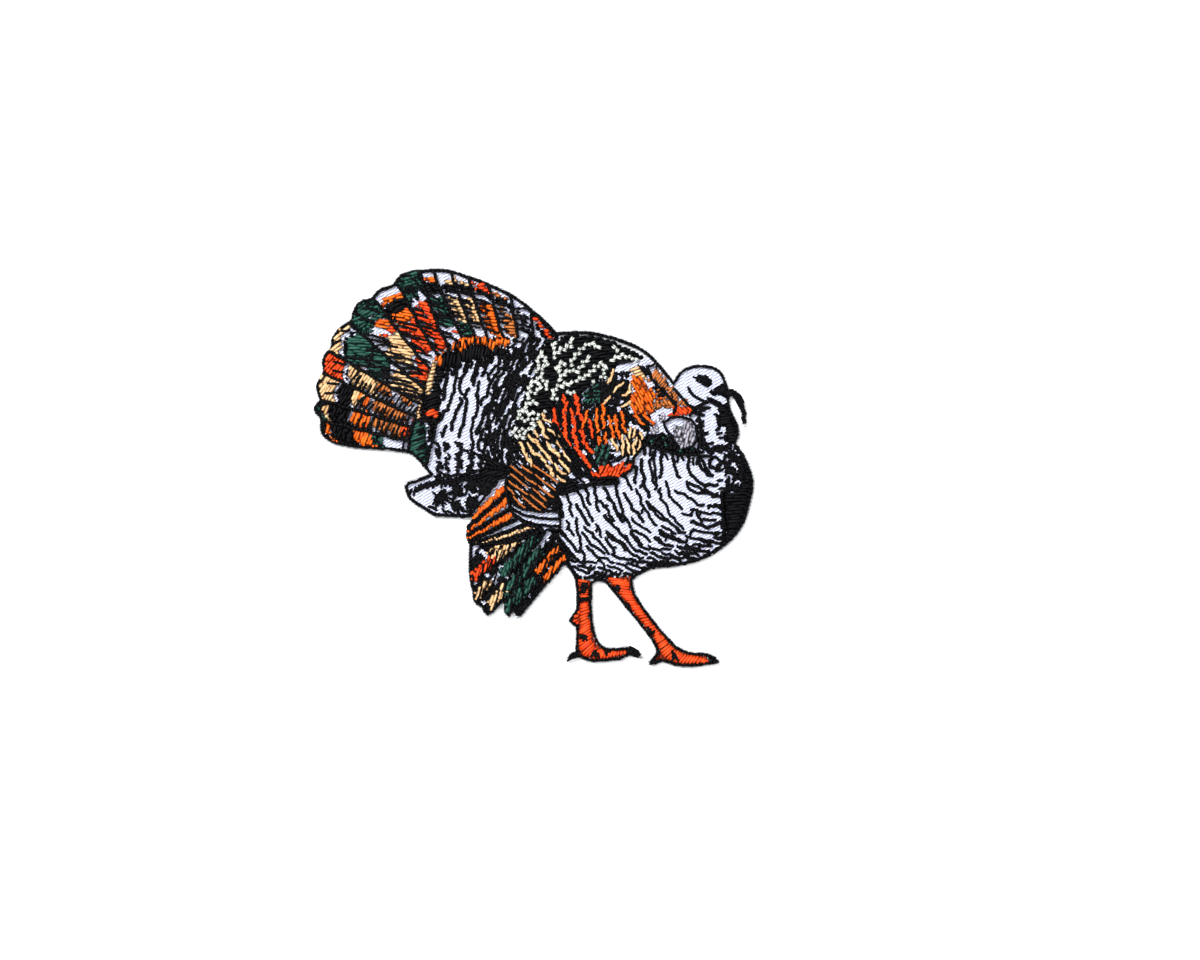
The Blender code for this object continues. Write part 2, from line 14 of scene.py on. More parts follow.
import bmesh
import bpy
import numpy as np
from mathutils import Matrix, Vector


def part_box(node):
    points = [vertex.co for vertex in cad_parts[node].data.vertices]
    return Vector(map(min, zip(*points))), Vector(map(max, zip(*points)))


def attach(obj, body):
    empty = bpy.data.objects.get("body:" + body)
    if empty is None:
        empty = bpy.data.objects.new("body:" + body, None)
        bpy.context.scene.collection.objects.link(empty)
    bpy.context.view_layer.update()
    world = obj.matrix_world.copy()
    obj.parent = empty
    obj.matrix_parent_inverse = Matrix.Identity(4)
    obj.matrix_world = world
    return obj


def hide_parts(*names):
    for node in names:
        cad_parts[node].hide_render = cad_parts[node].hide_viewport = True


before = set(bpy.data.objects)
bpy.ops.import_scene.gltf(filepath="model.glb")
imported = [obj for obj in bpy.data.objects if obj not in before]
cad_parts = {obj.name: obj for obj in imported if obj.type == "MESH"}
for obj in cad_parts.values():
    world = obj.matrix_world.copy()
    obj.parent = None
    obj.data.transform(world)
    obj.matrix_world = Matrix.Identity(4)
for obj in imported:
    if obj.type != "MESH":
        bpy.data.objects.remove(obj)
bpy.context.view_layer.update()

MM = 0.001

# Levels above the table, in mm
FILM_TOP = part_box("heat_seal_film")[1].z / MM
CLOTH_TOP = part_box("twill_ground")[1].z / MM
CLOTH_BODY = CLOTH_TOP - 0.14            # top of the cloth under its raised wales
UNDER_SATIN = CLOTH_TOP - 0.06           # middle of the padding's threads
ON_CLOTH = CLOTH_TOP + 0.14              # middle of a thread that lies on bare cloth
ON_UNDERLAY = CLOTH_TOP + 0.42           # middle of a satin thread, over its padding
ON_SATIN = CLOTH_TOP + 0.74              # middle of a thread that is sewn over satin
IN_CLOTH = CLOTH_TOP - 0.16              # where the ends of a thread go down to
IN_SATIN = ON_SATIN - 0.22               # the same for a thread that is sewn over satin

# Distances from the cut edge, in mm
SEWN_MARGIN = 0.62                       # rows of stitches and wales stop here
WALE_MARGIN = 0.26                       # the wales' rows are counted from here
BORDER_MARGIN = 0.60                     # middle of the black line round the patch
SLENDER_MARGIN = 0.50                    # the same round the legs and the head

# Threads, in mm
THREAD = 0.66                            # width of a satin thread
PITCH = 0.60                             # from one satin thread to the next
FLATNESS = 0.68                          # thickness of a thread for its width
LINE = 0.68                              # width of the twisted cord of a line
LINE_STITCH = 0.85                       # length of one turn of that cord
LAP = 0.22                               # how far each turn goes on past its ends
TWIST = 0.09                             # how far each turn leads across the line
LONGEST = 4.2                            # a satin stitch that would be longer is sewn in steps
RAGGED = 0.16                            # how unevenly the ends of satin stitches lie
UNEVEN = 0.12                            # how unevenly they lie beside each other
OVER_THE_GAP = 0.18                      # how far a field's stitches reach over the gap round it
OVERLAP = 0.5                            # how far a stepped row's stitches go under each other
PADDING_PITCH = 0.8                      # from one thread of the padding to the next
PADDING_WIDTH = 0.95
GROUND_PITCH = 0.5                       # the same for the black rows close to the cloth
GROUND_WIDTH = 0.64

# Shape of one stitch: at six places along it, how high it stands and how full it is
BEND = 0.34                              # mm from a stitch's end to where it runs level
LIFT = np.array([0.0, 0.86, 1.0, 1.0, 0.86, 0.0])
FULLNESS = np.array([0.55, 0.92, 1.0, 1.0, 0.92, 0.55])
SIDES = 6
SWAY = 0.02                              # how far a stitch bows sideways, in mm
UNEVEN_TOP = 0.018                       # how unevenly the tops of the stitches lie, in mm
BAKE_PATCH = 0.003                       # size of a stitch's own patch on the map named OFBake

WALE_ANGLE = 33                          # direction of the twill's diagonal ribs
WALE_PITCH = 0.54
FLOAT_LENGTH = 1.15                      # length of one raised float of a wale
FLOAT_HALF_WIDTH = WALE_PITCH * 0.56
FLOAT_RISE = 0.11                        # half the thickness of a float
WALES_PART_AT = 4.0                      # y at which the wales are parted into two pieces

FINE = 0.1                               # mm between the points of a path
GRID = 0.06                              # mm between the places that a row is tested at
GROWTH = 0.2                             # mm by which a stroke grows at a time
SEEDS = 90                               # seeds that each round of growing starts with
BLOCK = 4096                             # places worked on at a time, to keep the arrays small


def dice(name):
    """Random numbers that belong to a name, the same in every run."""
    return np.random.default_rng([ord(letter) for letter in name])


def steady(value):
    """The function of x and y that was given, or one that is the given number everywhere."""
    return value if callable(value) else lambda x, y: value + 0 * x


# ------------------------------------------------------------------ outlines and curves


def outline_of(node):
    """Edge of the top of a CAD plate in mm: closed loops, each anticlockwise round its material.

    The edge is every side of an upward face that no other upward face shares.
    """
    shape = bmesh.new()
    shape.from_mesh(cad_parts[node].data)
    bmesh.ops.remove_doubles(shape, verts=shape.verts, dist=1e-6)
    shape.verts.index_update()
    sides = {(corner.vert.index, corner.link_loop_next.vert.index)
             for face in shape.faces if face.normal.z > 0.9 for corner in face.loops}
    onward = {one: other for one, other in sorted(sides) if (other, one) not in sides}
    place = np.array([corner.co.xy for corner in shape.verts]) / MM
    shape.free()
    loops = []
    while onward:
        corner = next(iter(onward))
        loop = []
        while corner in onward:
            loop.append(corner)
            corner = onward.pop(corner)
        loops.append(place[loop])
    return sorted(loops, key=len, reverse=True)


def inside(loops, points):
    """True for points inside closed loops: a ray towards +X crosses them an odd number of times."""
    starts = np.vstack(loops)
    ends = np.vstack([np.roll(loop, -1, axis=0) for loop in loops])
    flat = points.reshape(-1, 2)
    found = np.empty(len(flat), bool)
    rise = np.where(ends[:, 1] == starts[:, 1], 1.0, ends[:, 1] - starts[:, 1])
    slope = (ends[:, 0] - starts[:, 0]) / rise
    for first in range(0, len(flat), BLOCK):
        x, y = flat[first:first + BLOCK].T[..., None]
        crossed = (starts[:, 1] > y) != (ends[:, 1] > y)
        found[first:first + BLOCK] = (crossed & (x < starts[:, 0] + (y - starts[:, 1]) * slope)).sum(1) % 2
    return found.reshape(points.shape[:-1])


def distance_to(outline, points):
    """Shortest distance from each of the points to the closed outline."""
    step = np.roll(outline, -1, axis=0) - outline
    flat = points.reshape(-1, 2)
    away = np.empty(len(flat))
    for first in range(0, len(flat), BLOCK):
        block = flat[first:first + BLOCK, None]
        along = np.einsum("pej,ej->pe", block - outline, step) / (step ** 2).sum(1)
        foot = outline + np.clip(along, 0, 1)[..., None] * step
        away[first:first + BLOCK] = np.linalg.norm(block - foot, axis=2).min(1)
    return away.reshape(points.shape[:-1])


def nearest(points, others):
    """Distance from each point to the nearest of the others."""
    blocks = np.array_split(points, len(points) // 400 + 1)
    return np.concatenate([np.linalg.norm(block[:, None] - others, axis=2).min(1) for block in blocks])


def dense(outline, longest=0.5):
    """The same closed outline with more corners, so that none of its sides is longer than given."""
    side = np.roll(outline, -1, axis=0) - outline
    count = np.ceil(np.linalg.norm(side, axis=1) / longest).astype(int)
    owner = np.repeat(np.arange(len(outline)), count)
    share = (np.arange(len(owner)) - np.repeat(np.cumsum(count) - count, count)) / count[owner]
    return outline[owner] + side[owner] * share[:, None]


def moved_inward(outline, distance):
    """Parallel outline: every corner goes along the bisector of its sides, at most 2.5 times as far
    as the sides do. A corner that comes out closer to the outline than they do is left out."""
    side = np.roll(outline, -1, axis=0) - outline
    normal = np.stack([-side[:, 1], side[:, 0]], 1) / np.linalg.norm(side, axis=1)[:, None]
    bisector = normal + np.roll(normal, 1, axis=0)
    length = np.linalg.norm(bisector, axis=1)[:, None]
    moved = outline + distance * bisector / length / np.maximum(length / 2, 1 / 2.5)
    return moved[distance_to(outline, moved) > abs(distance) * 0.96]


CUT_EDGE = outline_of("twill_ground")[0]


def inset(margin):
    """The cut edge, moved inward by a margin."""
    return moved_inward(dense(CUT_EDGE), margin)


OUTLINES = {name: [moved_inward(loop, -OVER_THE_GAP) for loop in outline_of(name)]
            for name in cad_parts}
OUTLINES["border"] = [CUT_EDGE]
OUTLINES["patch"] = [inset(WALE_MARGIN)]
STITCHED = [inset(SEWN_MARGIN)]
SLENDER = ("snood", "bill", "near_toe_claw", "far_toe_claw")     # sewn right up to their own outlines


def in_fields(names, points):
    """True for points inside any of the named fields."""
    return np.any([inside(OUTLINES[name], points) for name in names], axis=0)


def deep(x, y, distance):
    """True for places further from the cut edge than the distance."""
    return distance_to(CUT_EDGE, np.stack([x, y], -1)) > distance


def read_off(path, marks, at):
    """Points of a path at places between the marks that its own points stand at."""
    return np.stack([np.interp(at, marks, path[:, 0]), np.interp(at, marks, path[:, 1])], 1)


def distances(path):
    """How far along a path each of its points is."""
    return np.r_[0, np.cumsum(np.linalg.norm(np.diff(path, axis=0), axis=1))]


def length_of(path):
    """Length of a path."""
    return np.linalg.norm(np.diff(path, axis=0), axis=1).sum()


def evenly(path, spacing=FINE):
    """The same path with points at equal distances along it."""
    away = distances(path)
    at = np.linspace(0, away[-1], max(2, int(round(away[-1] / spacing)) + 1))
    return read_off(path, away, at)


def curve(points):
    """Catmull-Rom spline through the points: each span is a cubic that leaves a point along the
    line from the point before it to the point after it."""
    given = np.array(points, float)
    ends = np.vstack([2 * given[0] - given[1], given, 2 * given[-1] - given[-2]])
    t = np.linspace(0, 1, 12, endpoint=False)[:, None, None]
    a, b, c, d = ends[:-3], ends[1:-2], ends[2:-1], ends[3:]
    spans = b + t * ((c - a) + t * ((2 * a - 5 * b + 4 * c - d) + t * (3 * b - 3 * c + d - a))) / 2
    return evenly(np.vstack([spans.transpose(1, 0, 2).reshape(-1, 2), given[-1:]]))


def closed(outline):
    """A closed outline as a path that ends where it starts."""
    return evenly(np.vstack([outline, outline[:1]]))


def sideways(path):
    """Unit vectors that point to the left of a path at each of its points."""
    forward = np.gradient(path, axis=0)
    forward /= np.maximum(np.linalg.norm(forward, axis=1), 1e-9)[:, None]
    return np.stack([-forward[:, 1], forward[:, 0]], 1)


def wander(path, swing, wavelength, chance):
    """The path pushed left and right by two sine waves whose phases are drawn at random."""
    away = distances(path)
    phase = chance.uniform(0, 2 * np.pi, 2)
    wave = np.sin(2 * np.pi * away / wavelength + phase[0])
    wave = wave + 0.6 * np.sin(2 * np.pi * away / wavelength * 1.73 + phase[1])
    return path + sideways(path) * (swing * wave)[:, None]


def between(first, last, share):
    """Curve that lies at a share of the way from one curve to another, point by point."""
    count = max(len(first), len(last))
    start, end = (evenly(path, length_of(path) / (count - 1)) for path in (first, last))
    return start * (1 - share) + end * share


def toward(angle):
    """Unit vector at an angle."""
    return np.array([np.cos(np.radians(angle)), np.sin(np.radians(angle))])


def stretches(mask, least):
    """Start and stop of each unbroken stretch of a mask that has more places than the least."""
    ends = np.flatnonzero(np.diff(np.r_[False, mask, False].astype(np.int8)))
    return [(start, stop) for start, stop in zip(ends[::2], ends[1::2]) if stop - start > least]


def smoothly(value, low, high):
    """0 below one limit and 1 above the other, with a soft rise between them."""
    t = np.clip((value - low) / (high - low), 0, 1)
    return t * t * (3 - 2 * t)


# ------------------------------------------------------------------ stitches

sewn = defaultdict(list)


def sew(field, thread, starts, ends, width=THREAD, level=ON_UNDERLAY, crown=0.0):
    """Note straight stitches for the piece that this thread makes in this field."""
    if len(starts) == 0:
        return
    count = len(starts)
    sewn[field, thread].append(np.column_stack([
        starts, ends, np.full(count, width), np.full(count, level), np.full(count, crown)]))


def rows(field, angle, pitch=PITCH, keep=None):
    """Parallel rows at an angle across a field: row number, start and end of every stretch."""
    along, across = toward(angle), toward(angle + 90)
    corners = np.vstack(OUTLINES[field])
    low, high = (corners @ along).min(), (corners @ along).max()
    number = np.arange(np.floor((corners @ across).min() / pitch), np.ceil((corners @ across).max() / pitch))
    s, t = np.meshgrid(np.arange(low, high + GRID, GRID), (number + 0.5) * pitch)
    grid = s[..., None] * along + t[..., None] * across
    mask = inside(OUTLINES[field], grid)
    if field not in SLENDER:
        mask[mask] = inside(STITCHED, grid[mask])
    if keep is not None:
        mask &= keep(grid[..., 0], grid[..., 1])
    change = np.diff(np.pad(mask, ((0, 0), (1, 1))).astype(np.int8), axis=1)
    row, first = np.nonzero(change == 1)
    last = np.nonzero(change == -1)[1] - 1
    long_enough = last - first >= 3
    row, first, last = row[long_enough], first[long_enough], last[long_enough]
    return number[row], grid[row, first], grid[row, last]


def fringe(x, y, angle, seed=0.0, pitch=PITCH):
    """A number from -0.5 to 0.5 that looks random and belongs to the row that a place is in, of rows
    at an angle: the far digits of a sine of the row's number."""
    across = toward(angle + 90)
    row = np.floor((x * across[0] + y * across[1]) / pitch)
    return (np.sin(row * 12.9898 + seed) * 43758.5453) % 1.0 - 0.5


def ripple(x, y, length, seed=0.0):
    """Smooth waves that do not repeat, from about -1 to 1: the sum of three crossed sines."""
    k = 2 * np.pi / length
    waves = (np.sin(k * (x + 0.31 * y) + seed), np.sin(k * (1.27 * y - 0.46 * x) + 2.7 * seed + 2.0),
             np.sin(k * (0.93 * x - 1.21 * y) * 1.37 + 1.9 * seed + 4.0))
    return (waves[0] + waves[1] + waves[2]) / 2.2


def in_steps(row, starts, ends, longest=LONGEST):
    """Rows that are too long cut into stitches, the cuts shifted from row to row like bricks."""
    span = ends - starts
    length = np.linalg.norm(span, axis=1)
    forward = span / np.maximum(length, 1e-9)[:, None]
    phase = (row * 0.382) % 1.0
    first = np.einsum("ij,ij->i", starts, forward) / longest + phase
    count = np.where(length > longest, np.floor(first + length / longest) - np.floor(first) + 1, 1)
    count = count.astype(int)
    owner = np.repeat(np.arange(len(row)), count)
    step = np.arange(len(owner)) - np.repeat(np.cumsum(count) - count, count)
    cut_low = (np.floor(first[owner]) + step - first[owner]) * longest
    low = np.where(count[owner] > 1, np.clip(cut_low, 0, length[owner]), 0)
    high = np.where(count[owner] > 1, np.clip(cut_low + longest, 0, length[owner]), length[owner])
    real = high - low > 0.3
    owner, low, high = owner[real], low[real], high[real]
    low = np.where(low > 0, low - OVERLAP, low)
    return starts[owner] + forward[owner] * low[:, None], starts[owner] + forward[owner] * high[:, None]


def padding(field, thread, angle, keep=None):
    """Wide flat stitches close to the cloth, which satin of the same thread is sewn over."""
    sew(field, thread, *in_steps(*rows(field, angle, PADDING_PITCH, keep), longest=3.0),
        width=PADDING_WIDTH, level=UNDER_SATIN)


def fill(field, thread, angle, keep=None, pitch=PITCH, longest=LONGEST, ragged=RAGGED, crown=0.12,
         width=THREAD, level=ON_UNDERLAY):
    """Satin or stepped rows over a field or a part of it, on padding that crosses them."""
    chance = dice(field + thread + str(angle))
    starts, ends = in_steps(*rows(field, angle, pitch, keep), longest=longest)
    axes = np.array([toward(angle), toward(angle + 90)])
    starts = starts - chance.normal(0, (ragged, UNEVEN), (len(starts), 2)) @ axes
    ends = ends + chance.normal(0, (ragged, UNEVEN), (len(ends), 2)) @ axes
    width = width * chance.uniform(0.86, 1.2, len(starts))
    sew(field, thread, starts, ends, level=level, crown=crown, width=width)
    padding(field, thread, angle + 90, keep)


def ground(field, angle, keep=None, bare=0.25, length=7.0):
    """Black rows close to the cloth. Each stops now and then, so that slivers of cloth stay bare, two
    rows wide; bare is their share of the whole."""
    along = toward(angle)

    def sewn_here(x, y):
        phase = 40 * (fringe(x, y, angle, 5.0, 1.0) + 0.5)
        covered = np.sin((x * along[0] + y * along[1]) * 2 * np.pi / length + phase) < np.cos(np.pi * bare)
        return covered if keep is None else covered & keep(x, y)
    starts, ends = in_steps(*rows(field, angle, GROUND_PITCH, sewn_here), longest=2.4)
    sew(field, "black", starts, ends, width=GROUND_WIDTH, level=ON_CLOTH - 0.04, crown=0.04)


def line(field, thread, path, keep=None, width=LINE, stitch=LINE_STITCH, level=ON_CLOTH, inside_of=None,
         cords=1):
    """A cord of slanting stitches along a path, where it lies in the field; cords lie side by side."""
    chance = dice(field + thread + str(round(float(path[0, 0] * 7 + path[-1, 1] * 11), 2)))
    path = evenly(path)
    mask = inside(inside_of or OUTLINES[field], path)
    if keep is not None:
        mask &= keep(path[:, 0], path[:, 1])
    left = sideways(path)
    for first, stop in stretches(mask, 4):
        count = max(1, int(round((stop - first) * FINE / stitch)))
        at = np.linspace(first, stop - 1, count + 1).round().astype(int)
        for cord in range(cords):
            off = (cord - (cords - 1) / 2) * width * 0.6
            points = path[at] + left[at] * off + chance.normal(0, 0.04, (len(at), 2))
            forward = points[1:] - points[:-1]
            forward /= np.maximum(np.linalg.norm(forward, axis=1), 1e-9)[:, None]
            over = left[at] * TWIST * chance.uniform(0.6, 1.4, (len(at), 1))
            lap = forward * LAP
            sew(field, thread, points[:-1] - lap - over[:-1], points[1:] + lap + over[1:],
                width=width * chance.uniform(0.92, 1.08), level=level + chance.uniform(0, 0.03), crown=0.03)


def column(field, thread, one, other, pitch=PITCH, slant=0.35, ragged=0.1, keep=None, level=ON_UNDERLAY,
           width=THREAD, crown=0.08, whole=False):
    """Satin between two curves: each stitch leads from one to a point a little further on the other.
    Stitches are cut at the field's outline, or used whole if their middle lies in it."""
    chance = dice(field + thread + str(round(float(one[0, 0] * 3 + one[-1, 1] * 5), 2)))
    length = max(length_of(one), pitch)
    t = np.cumsum(chance.uniform(0.72, 1.28, int(length / pitch) + 1)) * pitch / length
    t = t[t < 1]
    starts, ends = (read_off(path, np.arange(len(path)), np.clip(share, 0, 1) * (len(path) - 1))
                    for path, share in ((one, t), (other, t + slant / length)))
    reach = np.linspace(0, 1, 13)
    samples = starts[:, None] + (ends - starts)[:, None] * reach[:, None]
    mask = inside(OUTLINES[field], samples)
    if whole:
        mask = mask[:, 6:7] & inside(STITCHED, samples)
    if keep is not None:
        mask &= keep(samples[..., 0], samples[..., 1])
    used = mask.sum(1) >= 3
    first = reach[mask.argmax(1)][used, None]
    last = reach[len(reach) - 1 - mask[:, ::-1].argmax(1)][used, None]
    starts, ends = starts[used], ends[used]
    across = (ends - starts) / np.maximum(np.linalg.norm(ends - starts, axis=1), 1e-9)[:, None]
    low = starts + (ends - starts) * first - across * chance.normal(0, ragged, (len(starts), 1))
    high = starts + (ends - starts) * last + across * chance.normal(0, ragged, (len(starts), 1))
    sew(field, thread, *in_steps(np.arange(len(low)), low, high), width=width, level=level, crown=crown)


def stripes(field, first, last, pattern, repeats=1, slant=0.35, swing=0.16, ragged=0.14):
    """Stripes side by side from one curve to another. The pattern gives each one's kind and weight:
    a thread's name for a satin column, the name and a dash for a line, or bare for open cloth."""
    chance = dice(field + "stripes" + str(len(pattern)))
    first, last = curve(first), curve(last)
    pattern = pattern * repeats
    limits = np.r_[0, np.cumsum([weight for _, weight in pattern])]
    sides = [wander(between(first, last, limit), swing, 2.8, chance) for limit in limits / limits[-1]]
    for (kind, weight), one, other in zip(pattern, sides, sides[1:]):
        if kind.endswith("-"):
            cords = 1 if weight < 0.8 else 2
            line(field, kind[:-1], (one + other) / 2, level=ON_UNDERLAY + 0.06, cords=cords)
        elif kind != "bare":
            column(field, kind, one, other, pitch=0.54, slant=slant, ragged=ragged)


def comb(field, thread, points, angle, length, spacing=0.9, level=ON_CLOTH, uneven=0.3):
    """Short strokes at an angle, that stand along a curve like the teeth of a comb."""
    path = curve(points)
    chance = dice(field + thread + "comb" + str(round(float(path[0, 0] + path[-1, 1]), 2)))
    for foot in evenly(path, spacing):
        foot = foot + chance.normal(0, 0.12, 2)
        reach = length * chance.uniform(1 - uneven, 1 + uneven)
        tip = foot + toward(angle + chance.normal(0, 9)) * reach
        line(field, thread, np.array([foot, tip]), level=level, width=LINE * 0.9)


def knot(field, thread, middle, size, level=ON_SATIN + 0.1, count=7):
    """A spot of short crossing stitches."""
    chance = dice(field + str(middle))
    for _ in range(count):
        foot = np.array(middle) + chance.normal(0, size * 0.24, 2)
        stroke = toward(chance.uniform(0, 180)) * size * 0.42
        line(field, thread, np.array([foot - stroke, foot + stroke]), level=level, width=LINE * 0.85)


def flow_paths(field, heading, apart, reach, name="", wobble=20, wavelength=2.8, least=(3.2, 1.6, 0.8),
               loose=1.3, closer=0.66, keep=None):
    """Wavering paths that follow the heading. Each grows both ways from its seed until it has its
    length, leaves the field or comes too close to another. Seeds lie beside the paths that are there
    already, a spacing from them, so the paths are nearly evenly apart; short paths come last."""
    heading, apart = steady(heading), steady(apart)
    chance = dice(field + name)
    corners = np.vstack(OUTLINES[field])
    taken = np.full((1, 2), 999.0)
    waves = chance.uniform(0, 6)
    paths = []
    for shortest in least:
        waiting = list(chance.uniform(corners.min(0), corners.max(0), (SEEDS, 2)))
        for path in paths:
            waiting.extend(path[::7] + sideways(path)[::7] * chance.choice([-1, 1]) * apart(*path[0]) * 1.02)
        budget = SEEDS * 16
        while waiting and budget:
            budget -= 1
            seed = waiting.pop()
            if np.linalg.norm(seed - taken, axis=1).min() < apart(*seed):
                continue
            if not inside(OUTLINES[field], seed) or (keep is not None and not keep(*seed)):
                continue
            turn = chance.normal(0, 5)
            halves = []
            for way in (-1, 1):
                half = [seed]
                for _ in range(max(2, int(chance.uniform(*reach) / 2 / GROWTH))):
                    x, y = half[-1]
                    bend = turn + wobble * ripple(x, y, wavelength, waves)
                    half.append(half[-1] + way * toward(heading(x, y) + bend) * GROWTH)
                half = np.array(half)
                stop = nearest(half, taken) < closer * apart(half[:, 0], half[:, 1])
                stop |= ~inside(OUTLINES[field], half)
                if keep is not None:
                    stop |= ~keep(half[:, 0], half[:, 1])
                halves.append(half[:stop.argmax()] if stop.any() else half)
            path = np.vstack([halves[0][:0:-1], halves[1]])
            if len(path) * GROWTH < shortest:
                continue
            taken = np.vstack([taken, path])
            paths.append(path)
            left = sideways(path)
            for index in chance.integers(0, len(path), 3 + len(path) // 5):
                away = chance.choice([-1, 1]) * apart(*path[index]) * chance.uniform(1.01, loose)
                waiting.append(path[index] + left[index] * away)
    return paths


def streaks(field, thread, heading, apart, reach, hooks=0.4, width=LINE, keep=None, level=ON_CLOTH,
            **manner):
    """Wavering strokes that follow the heading. Some start with a hook, which lies at either end:
    from the far one, the thread runs straight back to the start. Some have a barb at their side."""
    heading = steady(heading)
    chance = dice(field + thread + "barbs")
    for path in flow_paths(field, heading, apart, reach, keep=keep, **manner):
        if chance.random() < hooks:
            last, before = (path[-1], path[-3]) if chance.random() < 0.5 else (path[0], path[2])
            out = np.degrees(np.arctan2(*(last - before)[::-1]))
            out = out + chance.choice([-1, 1]) * np.array([30, 65, 95])
            hook = last + np.cumsum([toward(angle) for angle in out], axis=0) * chance.uniform(0.2, 0.42)
            path = np.vstack([hook[::-1], path])
        path = wander(evenly(path), 0.13, 1.9, chance)
        line(field, thread, path, level=level, width=width * chance.uniform(0.86, 1.14), keep=keep)
        if chance.random() < hooks * 0.6:
            foot = path[int(len(path) * chance.uniform(0.2, 0.8))]
            turn = heading(*foot) + chance.choice([-1, 1]) * chance.uniform(35, 80)
            barb = np.array([foot, foot + toward(turn) * chance.uniform(0.7, 1.4)])
            line(field, thread, barb, keep=keep, width=width * 0.8, level=level + 0.05)


def lanes(field, thread, heading, apart, reach, width=0.9, keep=None, lean=14, level=ON_UNDERLAY,
          strand=0.46, length=1.5, **manner):
    """Narrow bundles of thin overlapping stitches that follow the heading, swelling and thinning as
    they go; the stitches lean to the left and the right in turn. The thread is a name, or a function
    that names it for a place."""
    chance = dice(field + "lanes")
    manner = {"wobble": 14, "closer": 0.8, "least": (2.4, 1.4), "name": "lanes", **manner}
    for path in flow_paths(field, heading, apart, reach, keep=keep, **manner):
        name = thread if isinstance(thread, str) else thread(*path[len(path) // 2])
        points = evenly(path, 0.6 * strand * min(1.0, 0.8 / width))
        left = sideways(points)
        count = len(points)
        share = np.linspace(0, 1, count)
        swell = np.minimum(1, 0.3 + 4 * np.minimum(share, 1 - share)) * (1 + 0.25 * np.sin(
            share * len(path) * 0.5 + chance.uniform(0, 6)))
        off = chance.uniform(-0.5, 0.5, count) * np.maximum(width - strand, 0) * swell
        turn = np.radians(np.where(np.arange(count) % 2, 1, -1) * lean + chance.normal(0, 8, count))[:, None]
        forward = np.stack([left[:, 1], -left[:, 0]], 1)
        along = forward * np.cos(turn) + left * np.sin(turn)
        half = length / 2 * chance.uniform(0.6, 1.2, (count, 1))
        middle = points + left * off[:, None]
        sew(field, name, middle - along * half, middle + along * half, crown=0.1,
            width=strand * chance.uniform(0.85, 1.15, count), level=level + chance.uniform(0, 0.1))


def chain(field, thread, path, spacing=0.68, width=0.72, length=1.15, spread=0.22):
    """Bead-like links along a path: the left ones lean one way and the right ones the other."""
    chance = dice(field + thread + "chain" + str(round(float(path[0, 0] + path[-1, 1]), 2)))
    path = evenly(path, spacing)
    left = sideways(path)
    forward = np.stack([left[:, 1], -left[:, 0]], 1)
    side = np.where(np.arange(len(path)) % 2, 1.0, -1.0)[:, None]
    link = forward * chance.uniform(0.5, 1.0, side.shape)
    link += left * side * chance.uniform(0.1, 0.8, side.shape)
    link /= np.linalg.norm(link, axis=1)[:, None]
    middle = path + left * side * spread * chance.uniform(0.4, 1.5, side.shape)
    half = link * length / 2 * chance.uniform(0.7, 1.2, side.shape)
    used = inside(OUTLINES[field], middle)
    beside = np.stack([-link[:, 1], link[:, 0]], 1) * width * 0.3
    for hand in (-1, 1):
        foot, tip = middle - half + hand * 0.4 * beside, middle + half + hand * beside
        sew(field, thread, foot[used], tip[used], width=width * 0.6,
            level=ON_SATIN + 0.04 + 0.03 * hand, crown=0.1)


# ------------------------------------------------------------------ tail

FAN_CENTRE = np.array([2.05, 0.02])      # where the tail feathers' edges meet, under the back
TAIL_ROOT, TAIL_RIM = 30.0, 46.0         # distances from there between which the feathers bend
TURNED_FEATHERS = 4                      # the lowest feathers' barbs slope the other way
OVER_THE_RIM = -2.0                      # a tip starts this far past the cut edge
WHOLE_WIDTH = 2.0                        # a share across a feather that is past its edge
FEATHER_LINE = LINE * 0.85

# The edges of the tail feathers, from the lowest one up: bearings at the rim and the root
TAIL_EDGES = [(174.1, 174.1), (168.0, 168.8), (163.1, 163.1), (156.9, 158.2), (151.6, 152.7), (143.6, 146.4),
              (135.4, 139.2), (128.6, 133.8), (122.6, 128.8), (119.3, 122.4), (115.1, 117.8), (110.6, 113.6),
              (106.2, 107.6), (101.0, 101.2), (94.8, 94.8), (82.7, 84.0)]

